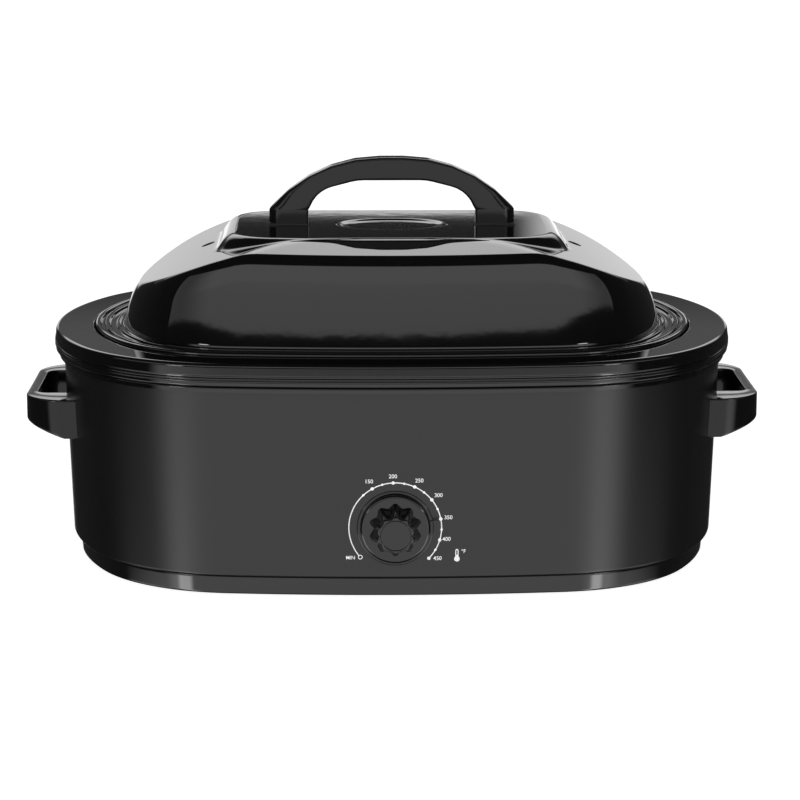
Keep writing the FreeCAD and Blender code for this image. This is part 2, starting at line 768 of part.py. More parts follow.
def body_core(inset=0.0):
    """Everything inside the body's outer face, moved in by inset."""
    foot = -inset
    top = BODY_FLARE - inset
    deep = CORNER_RADIUS / 2
    return round_the_body([(foot, RING_TOP, 0), (top, BODY_TOP, 0),
                           (top - deep, BODY_TOP, 0), (foot - deep, RING_TOP, 0)])


def side_handle_blank():
    """Right-hand loop in plan, with its window, its foot not yet fitted to the body."""
    root = BODY_HALF_LENGTH - GRIP_OUT
    outer = BODY_HALF_LENGTH + GRIP_OUT
    low = GRIP_TOP - GRIP_ROOT_HEIGHT
    plan = [(root, -GRIP_HALF_WIDTH, 0), (outer, -GRIP_HALF_WIDTH, GRIP_CORNER),
            (outer, GRIP_HALF_WIDTH, GRIP_CORNER), (root, GRIP_HALF_WIDTH, 0)]
    loop = Part.Face(rounded_wire(plan, flat_plan(low))).extrude(V(0, 0, GRIP_ROOT_HEIGHT))
    top_edges = [e for e in loop.Edges
                 if e.BoundBox.ZMin > GRIP_TOP - NEAR and e.BoundBox.XMax > root + NEAR]
    loop = loop.makeFillet(GRIP_EDGE, top_edges)
    inner_y = GRIP_HALF_WIDTH - GRIP_ARM
    window = [(root - GRIP_BAR, -inner_y, 0), (outer - GRIP_BAR, -inner_y, GRIP_WINDOW_BEND),
              (outer - GRIP_BAR, inner_y, GRIP_WINDOW_BEND), (root - GRIP_BAR, inner_y, 0)]
    hole = Part.Face(rounded_wire(window, flat_plan(low))).extrude(V(0, 0, GRIP_ROOT_HEIGHT))
    return loop.cut(hole)


def make_side_handle(core):
    """Right-hand handle: window, slanted underside, foot fitted to the body, screw holes."""
    loop = side_handle_blank()
    outer = BODY_HALF_LENGTH + GRIP_OUT
    low = GRIP_TOP - GRIP_ROOT_HEIGHT
    slant = [(BODY_HALF_LENGTH, low, 0), (outer, GRIP_TOP - GRIP_BAR_HEIGHT, 0), (outer, low, 0)]
    under = Part.Face(rounded_wire(slant, upright(-GRIP_HALF_WIDTH)))
    loop = loop.cut(under.extrude(V(0, 2 * GRIP_HALF_WIDTH, 0)))
    loop = loop.cut(core)
    tips = [solid for solid in loop.Solids if solid.BoundBox.XMax > outer - NEAR]
    holes = [cylinder(GRIP_SCREW_R + HOLE_PLAY, GRIP_SCREW_REACH,
                      V(BODY_HALF_LENGTH - WEDGE_IN, sy * GRIP_SCREW_Y, GRIP_SCREW_Z), V(1, 0, 0))
             for sy in (-1, 1)]
    return tips[0].cut(holes)


def make_handle_wedges(inner_core):
    """Blocks inside the body that give the handle screws a square seat."""
    wedges = []
    for side, y in grip_screw_spots():
        inner = BODY_HALF_LENGTH - WEDGE_IN
        low = GRIP_SCREW_Z - WEDGE_HEIGHT / 2
        block = box((inner, y - WEDGE_WIDTH / 2, low),
                    (BODY_HALF_LENGTH, y + WEDGE_WIDTH / 2, low + WEDGE_HEIGHT))
        if side < 0:
            block = mirrored_x(block)
        start = V(side * inner, y, GRIP_SCREW_Z)
        bore = cylinder(GRIP_SCREW_R + HOLE_PLAY, GRIP_OUT, start, V(side, 0, 0))
        wedges.append(block.common(inner_core).cut(bore))
    return Part.Compound(wedges)


def make_side_handle_screws():
    """Screws from inside the body out into the roots of the handles."""
    screws = []
    for side, y in grip_screw_spots():
        seat = V(side * (BODY_HALF_LENGTH - WEDGE_IN), y, GRIP_SCREW_Z)
        out = V(side, 0, 0)
        head = cylinder(SCREW_HEAD_R, SCREW_HEAD, seat - out * SCREW_HEAD, out)
        shank = cylinder(GRIP_SCREW_R, GRIP_SCREW_REACH - TIP_PLAY, seat, out)
        screws.append(fused([head, shank]))
    return Part.Compound(screws)


# ======================= Dial and thermostat =======================

WALL_Y = -(BODY_HALF_DEPTH + body_outset(DIAL_Z))


def on_dial(ahead, x=0.0):
    """A point of the dial's axis, ahead of the wall, moved sideways by x."""
    return V(x, WALL_Y - ahead, DIAL_Z)


def make_dial_bezel(core):
    """Ring round the knob, its back shaped to the body."""
    start = on_dial(-KNOB_PROUD)
    length = KNOB_PROUD + BEZEL_PROUD
    ring = cylinder(BEZEL_R, length, start, FORWARD).cut(cylinder(BEZEL_INNER_R, length, start, FORWARD))
    return ring.cut(core)


def knob_grip():
    """Tapering grip with scallops round it."""
    start = on_dial(KNOB_PROUD)
    grip = Part.makeCone(GRIP_BASE_R, GRIP_CAP_R, GRIP_LENGTH, start, FORWARD)
    lean = math.atan2(GRIP_BASE_R - LOBE_CUT_DEPTH - GRIP_CAP_R + LOBE_CUT_TIP, GRIP_LENGTH)
    cuts = []
    for k in range(GRIP_LOBES):
        angle = 2 * math.pi * (k + 0.5) / GRIP_LOBES
        reach = GRIP_BASE_R + LOBE_CUT_R - LOBE_CUT_DEPTH
        out = V(math.cos(angle), 0, math.sin(angle))
        axis = FORWARD * math.cos(lean) - out * math.sin(lean)
        cuts.append(cylinder(LOBE_CUT_R, 2 * GRIP_LENGTH, start + out * reach, axis))
    return grip.cut(cuts)


def make_control_knob():
    """Moulded knob: skirt, disc, scalloped grip, hub with the shaft's socket, cap recess."""
    back = BEZEL_PROUD + KNOB_GAP
    disc = cylinder(KNOB_R, KNOB_PROUD - back, on_dial(back), FORWARD)
    rim = [e for e in disc.Edges if e.BoundBox.YMax < on_dial(KNOB_PROUD).y + 0.01]
    disc = disc.makeFillet(KNOB_WALL / 2, rim)
    hollow = cylinder(KNOB_R - KNOB_WALL, KNOB_PROUD - back - KNOB_WALL, on_dial(back), FORWARD)
    hub = cylinder(HUB_R, KNOB_PROUD - back, on_dial(back), FORWARD)
    knob = fused([disc.cut(hollow), hub, knob_grip()])
    socket = cylinder(SHAFT_R + SHAFT_PLAY, SHAFT_OUT + CAP_THICK - back, on_dial(back), FORWARD)
    recess_start = KNOB_PROUD + GRIP_LENGTH - CAP_THICK
    recess = cylinder(CAP_R + HOLE_PLAY, CAP_THICK, on_dial(recess_start), FORWARD)
    return knob.cut([socket, recess])


def make_knob_cap():
    """Glossy insert in the end of the grip."""
    return cylinder(CAP_R, CAP_THICK, on_dial(KNOB_PROUD + GRIP_LENGTH - CAP_THICK), FORWARD)


def make_thermostat_shaft():
    """Turning shaft with a flat on its front end."""
    shaft = cylinder(SHAFT_R, SHAFT_IN + SHAFT_OUT, on_dial(-SHAFT_IN), FORWARD)
    tip = on_dial(SHAFT_OUT)
    flat = box((tip.x - SHAFT_R, tip.y, tip.z + SHAFT_R - SHAFT_FLAT),
               (tip.x + SHAFT_R, tip.y + CLIP_LENGTH + KNOB_WALL, tip.z + SHAFT_R))
    return shaft.cut(flat)


def make_knob_spring_clip():
    """Leaf spring between the shaft's flat and the knob's socket."""
    tip = on_dial(SHAFT_OUT)
    low = tip.z + SHAFT_R - SHAFT_FLAT
    half = math.sqrt(SHAFT_R ** 2 - (SHAFT_R - SHAFT_FLAT + CLIP_THICK) ** 2) - SHAFT_PLAY
    return box((tip.x - half, tip.y, low), (tip.x + half, tip.y + CLIP_LENGTH, low + CLIP_THICK))


def make_thermostat_bracket(inner_core):
    """Plate with two bosses whose ends are shaped to the inside of the body."""
    front = on_dial(BRACKET_SHEET - thermostat_front())
    plate = box((-BRACKET_LENGTH / 2, front.y, DIAL_Z - BRACKET_HEIGHT / 2),
                (BRACKET_LENGTH / 2, front.y + BRACKET_SHEET, DIAL_Z + BRACKET_HEIGHT / 2))
    bosses = [cylinder(BRACKET_BOSS_R, DRILL, front + V(x, 0, 0), FORWARD)
              for x in (-DIAL_SCREW_X, DIAL_SCREW_X)]
    bracket = fused([plate] + [boss.common(inner_core) for boss in bosses])
    start = on_dial(-thermostat_front())
    holes = [cylinder(DIAL_SCREW_R + HOLE_PLAY, DRILL, start + V(x, 0, 0), FORWARD)
             for x in (-DIAL_SCREW_X, DIAL_SCREW_X)]
    holes.append(cylinder(NECK_R + HOLE_PLAY, DRILL, start, FORWARD))
    return bracket.cut(holes)


def thermostat_front():
    """How far behind the wall the thermostat's front face lies."""
    return BODY_SHEET + BRACKET_GAP + BRACKET_SHEET


def make_thermostat_body():
    """Thermostat case with a neck through the wall and a bore for the shaft."""
    front = on_dial(-thermostat_front())
    case = box((-THERMOSTAT_LENGTH / 2, front.y, DIAL_Z - THERMOSTAT_HEIGHT / 2),
               (THERMOSTAT_LENGTH / 2, front.y + THERMOSTAT_DEPTH, DIAL_Z + THERMOSTAT_HEIGHT / 2))
    neck = cylinder(NECK_R, thermostat_front() + BODY_SHEET / 2, front, FORWARD)
    bore = cylinder(SHAFT_R + SHAFT_PLAY, DRILL, on_dial(-SHAFT_IN - TIP_PLAY), FORWARD)
    deep = DIAL_SCREW_REACH + TIP_PLAY
    holes = [cylinder(DIAL_SCREW_R + HOLE_PLAY, deep, front + V(x, 0, 0), REARWARD)
             for x in (-DIAL_SCREW_X, DIAL_SCREW_X)]
    return fused([case, neck]).cut([bore] + holes)


def make_thermostat_screws():
    """Screws through the wall and the bracket into the thermostat, under the knob."""
    screws = []
    for x in (-DIAL_SCREW_X, DIAL_SCREW_X):
        head = cylinder(DIAL_HEAD_R, DIAL_HEAD, on_dial(DIAL_HEAD_GAP, x), FORWARD)
        reach = thermostat_front() + DIAL_SCREW_REACH
        shank = cylinder(DIAL_SCREW_R, reach + DIAL_HEAD_GAP, on_dial(-reach, x), FORWARD)
        screws.append(fused([head, shank]))
    return Part.Compound(screws)


# ======================= Wiring =======================

def wall_rod(x, z, radius, side):
    """Centre and direction of a round rod along the well, at x and height z.

    side is 1 at the rear and -1 at the front. The rod touches the wall at its middle."""
    lean = math.asin(x / (SIDE_RADIUS + well_outset(z)))
    out = side_y(x, well_outset(z)) + radius + BAND_PLAY
    along = V(math.cos(lean), -side * math.sin(lean), 0)
    return V(x, side * out, z), along


def rod_piece(centre, along, radius, length):
    """A cylinder with its middle at centre."""
    return cylinder(radius, length, centre - along * (length / 2), along)


def make_sensor_bulb():
    """Closed tube along the front of the well."""
    centre, along = wall_rod(BULB_X, BULB_Z, BULB_R, -1)
    return rod_piece(centre, along, BULB_R, BULB_LENGTH)


def saddle(centre, along, radius):
    """Strap over a rod, open to the well."""
    strap = rod_piece(centre, along, radius + HOLE_PLAY + BODY_SHEET, radius)
    return strap.cut([rod_piece(centre, along, radius + HOLE_PLAY, radius), well_core()])


def make_bulb_clips():
    """Two saddles that hold the bulb against the well."""
    centre, along = wall_rod(BULB_X, BULB_Z, BULB_R, -1)
    return Part.Compound([saddle(centre + along * shift, along, BULB_R)
                          for shift in (-BULB_CLIP_SHIFT, BULB_CLIP_SHIFT)])


def well_core():
    """Everything inside the well's outer wall, above its bend."""
    low = BULB_Z - DRILL / 2
    return round_the_body([(well_outset(low), low, 0), (well_outset(BODY_TOP), BODY_TOP, 0),
                           (WELL_MOUTH - CORNER_RADIUS / 2, BODY_TOP, 0),
                           (WELL_MOUTH - CORNER_RADIUS / 2, low, 0)])


def make_capillary_tube():
    """Thin tube from the thermostat's side to the end of the bulb."""
    start_y = on_dial(-thermostat_front() - THERMOSTAT_DEPTH / 2).y
    side = THERMOSTAT_LENGTH / 2
    centre, along = wall_rod(BULB_X, BULB_Z, BULB_R, -1)
    end = centre - along * (BULB_LENGTH / 2)
    middle = (side + end.x) / 2
    points = [(side, start_y, DIAL_Z), (middle, start_y, DIAL_Z),
              (middle, end.y, BULB_Z), (end.x, end.y, BULB_Z)]
    return bent_tube(points, CAPILLARY_R, CAPILLARY_BEND)


def earth_spot():
    return BLOCK_X - BLOCK_LENGTH, BLOCK_Y


def make_terminal_block():
    """Ceramic block on the base plate, bored for the wires' ends."""
    floor = PLATE_FLOOR + PLATE_SHEET
    block = box((BLOCK_X - BLOCK_LENGTH / 2, BLOCK_Y - BLOCK_DEPTH / 2, floor),
                (BLOCK_X + BLOCK_LENGTH / 2, BLOCK_Y + BLOCK_DEPTH / 2, floor + BLOCK_HEIGHT))
    face = BLOCK_Y - BLOCK_DEPTH / 2
    drills = [cylinder(WIRE_R + HOLE_PLAY, BLOCK_DEPTH, V(x, face, wire_floor()), REARWARD)
              for x in block_ports()]
    return block.cut(drills)


def wire_floor():
    """Height of the wires that lie above the base plate."""
    return PLATE_FLOOR + PLATE_SHEET + WIRE_RISE + WIRE_R


def block_ports():
    """The block's three wire holes, by x."""
    return [BLOCK_X + k * BLOCK_LENGTH / 4 for k in (-1, 0, 1)]


def wire_turn():
    """Where the wires leave the base plate for the walls, as a distance from the X axis."""
    return BODY_HALF_DEPTH - WIRE_TURN


def wire_shelf():
    """Height at which the wires reach the walls, clear of the foot's lips."""
    return RING_TOP + BODY_SHEET + WIRE_BEND


def thermostat_port():
    """Depth and height of the wires' ends under the thermostat."""
    return on_dial(-thermostat_front() - THERMOSTAT_DEPTH / 2).y, DIAL_Z - THERMOSTAT_HEIGHT / 2


def make_supply_wires():
    """Two wires from the terminal block along the base to the thermostat's underside."""
    wires = []
    z = wire_floor()
    y, under = thermostat_port()
    port = BLOCK_Y - BLOCK_DEPTH / 2 + WIRE_R
    for k, x in enumerate(block_ports()[:2]):
        end = THERMOSTAT_LENGTH / 4 * (k + 0.5)
        wires.append(bent_tube([(x, port, z), (x, -WIRE_TURN, z), (end, -wire_turn(), z),
                                (end, y, wire_shelf()), (end, y, under)], WIRE_R, WIRE_BEND))
    return Part.Compound(wires)


def make_heater_wires():
    """Wires to the two terminals of the bands: from the thermostat and from the block."""
    z = wire_floor()
    front, under = thermostat_port()
    rear = clamp_rear(BAND_LOWS[-1]) + WIRE_BEND / 2
    top = BAND_LOWS[-1] + BAND_HEIGHT + TERMINAL_REACH / 2
    tab = side_y(0, band_outset(BAND_LOWS[-1] + BAND_HEIGHT))
    x = (BAND_GAP + TERMINAL) / 2
    bend = (rear - tab) / 2
    climb = [(rear, wire_shelf()), (rear, top), (tab, top)]
    from_dial = [(-x, front, under), (-x, front, wire_shelf()), (-x, -wire_turn(), z), (-x, wire_turn(), z)]
    from_dial += [(-x, y, height) for y, height in climb]
    port = block_ports()[2]
    exit_y = BLOCK_Y + BLOCK_DEPTH / 2 - WIRE_R
    from_block = [(port, exit_y, z), (port, exit_y + WIRE_BEND, z), (x, wire_turn(), z)]
    from_block += [(x, y, height) for y, height in climb]
    return Part.Compound([bent_tube(points, WIRE_R, bend) for points in (from_dial, from_block)])


def make_thermal_fuse():
    """Cutout that lies on the rear of the well beside the clamps."""
    centre, along = wall_rod(FUSE_X, BULB_Z, FUSE_R, 1)
    return rod_piece(centre, along, FUSE_R, FUSE_LENGTH)


def make_fuse_clip():
    """Saddle that holds the cutout against the well."""
    centre, along = wall_rod(FUSE_X, BULB_Z, FUSE_R, 1)
    return saddle(centre, along, FUSE_R)


def make_earth_screw():
    """Screw through the base plate for the earth wire."""
    x, y = earth_spot()
    return screw_up(x, y, PLATE_FLOOR, BASE_SCREW_REACH, EARTH_R)


def make_cord_inlet(core):
    """Bush in the rear wall: flange outside, neck through the wall, open bore."""
    inner = side_y(INLET_X, 0) - INLET_BACK - BODY_SHEET
    start = V(INLET_X, inner, INLET_Z)
    outer_face = side_y(INLET_X, body_outset(INLET_Z)) + INLET_FLANGE
    flange = cylinder(INLET_FLANGE_R, outer_face - inner, start, REARWARD).cut(core)
    neck = cylinder(INLET_NECK_R, outer_face - inner, start, REARWARD)
    bore = cylinder(INLET_BORE_R, outer_face - inner, start, REARWARD)
    return fused([flange, neck]).cut(bore)


# ======================= Pan, rack and lid =======================

def make_cooking_pan():
    """Enamelled pan: curled skirt, flat flange, recess for the lid, leaning wall, floor."""
    wall_foot = PAN_WALL - PAN_TAPER
    flat = wall_foot - 2 * PAN_BEND
    rim = [(PAN_RIM_IN, PAN_BASE, 0), (PAN_RIM_OUT - PAN_CURL_IN, PAN_BASE, PAN_CURL_BEND),
           (PAN_RIM_OUT, PAN_TOP, PAN_EDGE_BEND)]
    recess = [(RECESS_EDGE, PAN_TOP, PAN_RECESS_BEND), (RECESS_FOOT, PAN_LEDGE_TOP, PAN_RECESS_FOOT_BEND),
              (PAN_WALL, PAN_LEDGE_TOP, PAN_LEDGE_BEND)]
    vessel = [(wall_foot, PAN_FLOOR, PAN_BEND), (flat, PAN_FLOOR, 0)]
    section = sheet(rim + recess + vessel, PAN_SHEET)
    floor = oval_slab(flat, PAN_FLOOR - PAN_SHEET, PAN_SHEET)
    return fused([round_the_body(section), floor])


def rack_level():
    """Height of the rack's rim wire."""
    return PAN_FLOOR + LOOSE_SEAT + RACK_LEG + RACK_RIM_R


def rack_rim():
    """Rim wire of the rack, a round section carried along the outline."""
    circle = Part.Wire(Part.makeCircle(RACK_RIM_R, V(0, 0, rack_level()), REARWARD))
    return carried_round(circle, body_arcs(-RACK_INSET))


def outline_y(x, arcs):
    """Half-depth of an oval at x, from its corner arc or its side arc."""
    corner, side = arcs[1:3]
    corner_low = corner[0] + corner[2] * math.cos(math.radians(corner[4]))
    cx, cy, radius = corner[:3] if x >= corner_low else side[:3]
    return cy + math.sqrt(radius ** 2 - (x - cx) ** 2)


def make_roasting_rack():
    """Wire rack: rim, cross wires, two legs of bent wire and a low loop at each end."""
    arcs = body_arcs(-RACK_INSET)
    z = rack_level()
    pieces = [rack_rim()]
    each_side = int((BODY_HALF_LENGTH - RACK_INSET - RACK_END_GAP) / RACK_PITCH)
    for k in range(-each_side, each_side + 1):
        x = k * RACK_PITCH
        half = outline_y(abs(x), arcs)
        pieces.append(cylinder(RACK_WIRE_R, 2 * half, V(x, -half, z), REARWARD))
    foot = PAN_FLOOR + LOOSE_SEAT + RACK_WIRE_R
    for x in (-RACK_LEG_X, RACK_LEG_X):
        half = outline_y(abs(x), arcs)
        leg = [(x, -half, z), (x, -half, foot), (x, half, foot), (x, half, z)]
        pieces.append(bent_tube(leg, RACK_WIRE_R, RACK_BEND))
    for side in (-1, 1):
        x = side * (BODY_HALF_LENGTH - RACK_INSET - RACK_RIM_R)
        top = z + RACK_LOOP
        loop = [(x, -RACK_LOOP_HALF, z), (x, -RACK_LOOP_HALF, top), (x, RACK_LOOP_HALF, top),
                (x, RACK_LOOP_HALF, z)]
        pieces.append(bent_tube(loop, RACK_WIRE_R, RACK_BEND))
    return fused(pieces)


def dome(inset):
    """The lid's dome as a solid, its level sections drawn in and lowered by inset."""
    wires = []
    top_half_length = HANDLE_HALF_SPAN + LID_TOP_MARGIN
    stretch = (BODY_HALF_LENGTH + LID_WALL - top_half_length) / LID_STATIONS[-1][1]
    for rise, end_in, side_in, bend in LID_STATIONS:
        shrink = LID_WALL - inset
        z = LID_FOOT + rise - (inset if rise else 0.0)
        half_length = BODY_HALF_LENGTH + shrink - end_in * stretch
        arcs = oval_arcs(half_length, BODY_HALF_DEPTH + shrink - side_in,
                         SIDE_RADIUS + shrink, END_RADIUS + shrink, CORNER_RADIUS + shrink - bend)
        wires.append(arcs_wire(arcs, z))
    return Part.makeLoft(wires, True, True)


def lid_brim():
    """Outer bead that sits in the pan's recess, stepped web and foot of the dome."""
    out = LID_BEAD_OUT
    top = LID_BASE + LID_BEAD_HEIGHT
    web_out = out - LID_BEAD_WIDTH
    middle = (web_out + LID_WALL) / 2
    outer = middle + LID_MID_BEAD_HALF
    inner = middle - LID_MID_BEAD_HALF
    raised = LID_WEB + LID_MID_BEAD
    bead = [(web_out + LID_SHEET, LID_BASE, 0), (out, LID_BASE, LID_MID_BEAD),
            (out, top, LID_MID_BEAD), (web_out, top, LID_MID_BEAD)]
    web = [(web_out - LID_STEP, LID_WEB, LID_STEP), (outer + LID_STEP, LID_WEB, LID_STEP),
           (outer, raised, LID_STEP), (inner, raised, LID_STEP), (inner - LID_STEP, LID_WEB, LID_STEP),
           (LID_WALL, LID_WEB, LID_MID_BEAD), (LID_WALL, LID_FOOT, 0)]
    return round_the_body(sheet(bead + web, LID_SHEET))


def make_lid_shell():
    """Domed lid with its brim, drilled for the handle's screws."""
    shell = fused([dome(0.0).cut(dome(LID_SHEET)), lid_brim()])
    drills = [cylinder(HANDLE_SCREW_R + HOLE_PLAY, DRILL, V(x, 0, LID_TOP - DRILL / 2))
              for x in (-HANDLE_SCREW_X, HANDLE_SCREW_X)]
    return shell.cut(drills)


def shoulder_bend():
    """Radius of the outer shoulders, at most what the top and the slope beside it leave room for."""
    slope = math.hypot(HANDLE_BEND_IN, HANDLE_KNEE_DROP) - HANDLE_KNEE
    room = min(HANDLE_HALF_SPAN - HANDLE_BEND_IN - HANDLE_EDGE, slope)
    turn = math.atan2(HANDLE_KNEE_DROP, HANDLE_BEND_IN)
    return min(HANDLE_BEND, room / math.tan(turn / 2))


def make_lid_handle():
    """Bridge with two feet, flat on its gaskets, bored from below for the screws."""
    base = HANDLE_BASE
    top = base + HANDLE_RISE
    inner = HANDLE_HALF_SPAN - HANDLE_FOOT
    outer = HANDLE_HALF_SPAN
    ceiling = top - HANDLE_THICK
    right = [(outer - HANDLE_BEND_IN, top, shoulder_bend()), (outer, top - HANDLE_KNEE_DROP, HANDLE_KNEE),
             (outer, base, 0), (inner, base, 0), (inner, ceiling - HANDLE_ARCH_DROP, HANDLE_ARCH_BEND),
             (HANDLE_FLAT, ceiling, HANDLE_FLAT_BEND)]
    left = [(-x, z, r) for x, z, r in right[::-1]]
    face = Part.Face(rounded_wire(right + left, upright(-HANDLE_WIDTH / 2)))
    bridge = face.extrude(V(0, HANDLE_WIDTH, 0))
    long_edges = [e for e in bridge.Edges if e.BoundBox.YLength < NEAR and e.BoundBox.ZMin > base + NEAR]
    bridge = bridge.makeFillet(HANDLE_EDGE, long_edges)
    bores = [cylinder(HANDLE_SCREW_R + HOLE_PLAY, HANDLE_SCREW_REACH, V(x, 0, base))
             for x in (-HANDLE_SCREW_X, HANDLE_SCREW_X)]
    return bridge.cut(bores)


def make_lid_handle_gaskets():
    """Heat-proof pads under the feet of the handle."""
    pads = []
    for x in (-HANDLE_SCREW_X, HANDLE_SCREW_X):
        pad = box((x - HANDLE_FOOT / 2, -HANDLE_WIDTH / 2, LID_TOP),
                  (x + HANDLE_FOOT / 2, HANDLE_WIDTH / 2, LID_TOP + GASKET))
        pads.append(pad.cut(cylinder(HANDLE_SCREW_R + HOLE_PLAY, GASKET, V(x, 0, LID_TOP))))
    return Part.Compound(pads)


def make_lid_handle_washers():
    """Washers under the lid for the handle's screws."""
    washers = []
    low = LID_TOP - LID_SHEET - HANDLE_WASHER
    for x in (-HANDLE_SCREW_X, HANDLE_SCREW_X):
        disc = cylinder(HANDLE_WASHER_R, HANDLE_WASHER, V(x, 0, low))
        washers.append(disc.cut(cylinder(HANDLE_SCREW_R + HOLE_PLAY, HANDLE_WASHER, V(x, 0, low))))
    return Part.Compound(washers)


def make_lid_handle_screws():
    """Screws from inside the lid up into the handle's feet."""
    screws = []
    seat = LID_TOP - LID_SHEET - HANDLE_WASHER
    reach = HANDLE_WASHER + LID_SHEET + GASKET + HANDLE_SCREW_REACH - TIP_PLAY
    for x in (-HANDLE_SCREW_X, HANDLE_SCREW_X):
        head = cylinder(HANDLE_HEAD_R, HANDLE_HEAD, V(x, 0, seat - HANDLE_HEAD))
        shank = cylinder(HANDLE_SCREW_R, reach, V(x, 0, seat))
        screws.append(fused([head, shank]))
    return Part.Compound(screws)


# ======================= Output =======================

def make_parts():
    """Every piece by the name of its node."""
    core = body_core()
    inner_core = body_core(BODY_WALL)
    right_handle = make_side_handle(core)
    return {
        "body_shell": make_body_shell(),
        "base_ring": make_base_ring(),
        "bottom_plate": make_bottom_plate(),
        "rubber_feet": make_rubber_feet(),
        "base_screws": make_base_screws(),
        "base_nuts": make_base_nuts(),
        "heating_well": make_heating_well(),
        "heating_bands": make_heating_bands(),
        "band_clamps": make_band_clamps(),
        "band_terminals": make_band_terminals(),
        "insulation_blanket": make_insulation_blanket(),
        "insulation_pad": make_insulation_pad(),
        "heat_shield": make_heat_shield(),
        "well_standoffs": make_well_standoffs(),
        "standoff_screws": make_standoff_screws(),
        "side_handle_right": right_handle,
        "side_handle_left": mirrored_x(right_handle),
        "handle_wedges": make_handle_wedges(inner_core),
        "side_handle_screws": make_side_handle_screws(),
        "dial_bezel": make_dial_bezel(core),
        "control_knob": make_control_knob(),
        "knob_cap": make_knob_cap(),
        "knob_spring_clip": make_knob_spring_clip(),
        "thermostat_shaft": make_thermostat_shaft(),
        "thermostat_bracket": make_thermostat_bracket(inner_core),
        "thermostat_body": make_thermostat_body(),
        "thermostat_screws": make_thermostat_screws(),
        "sensor_bulb": make_sensor_bulb(),
        "bulb_clips": make_bulb_clips(),
        "capillary_tube": make_capillary_tube(),
        "terminal_block": make_terminal_block(),
        "supply_wires": make_supply_wires(),
        "heater_wires": make_heater_wires(),
        "thermal_fuse": make_thermal_fuse(),
        "fuse_clip": make_fuse_clip(),
        "earth_screw": make_earth_screw(),
        "cord_inlet": make_cord_inlet(core),
        "cooking_pan": make_cooking_pan(),
        "roasting_rack": make_roasting_rack(),
        "lid_shell": make_lid_shell(),
        "lid_handle": make_lid_handle(),
        "lid_handle_gaskets": make_lid_handle_gaskets(),
        "lid_handle_washers": make_lid_handle_washers(),
        "lid_handle_screws": make_lid_handle_screws(),
    }


def main():
    """Writes one file for each piece and prints its volume."""
    os.makedirs("parts", exist_ok=True)
    for node, shape in make_parts().items():
        shape.exportStep("parts/" + node + ".step")
        size = shape.BoundBox
        print(f"{node:22s} solids {len(shape.Solids):2d} valid {shape.isValid()} "
              f"volume {shape.Volume:10.1f} x {size.XMin:7.2f} {size.XMax:7.2f} "
              f"y {size.YMin:7.2f} {size.YMax:7.2f} z {size.ZMin:7.2f} {size.ZMax:7.2f}")


main()
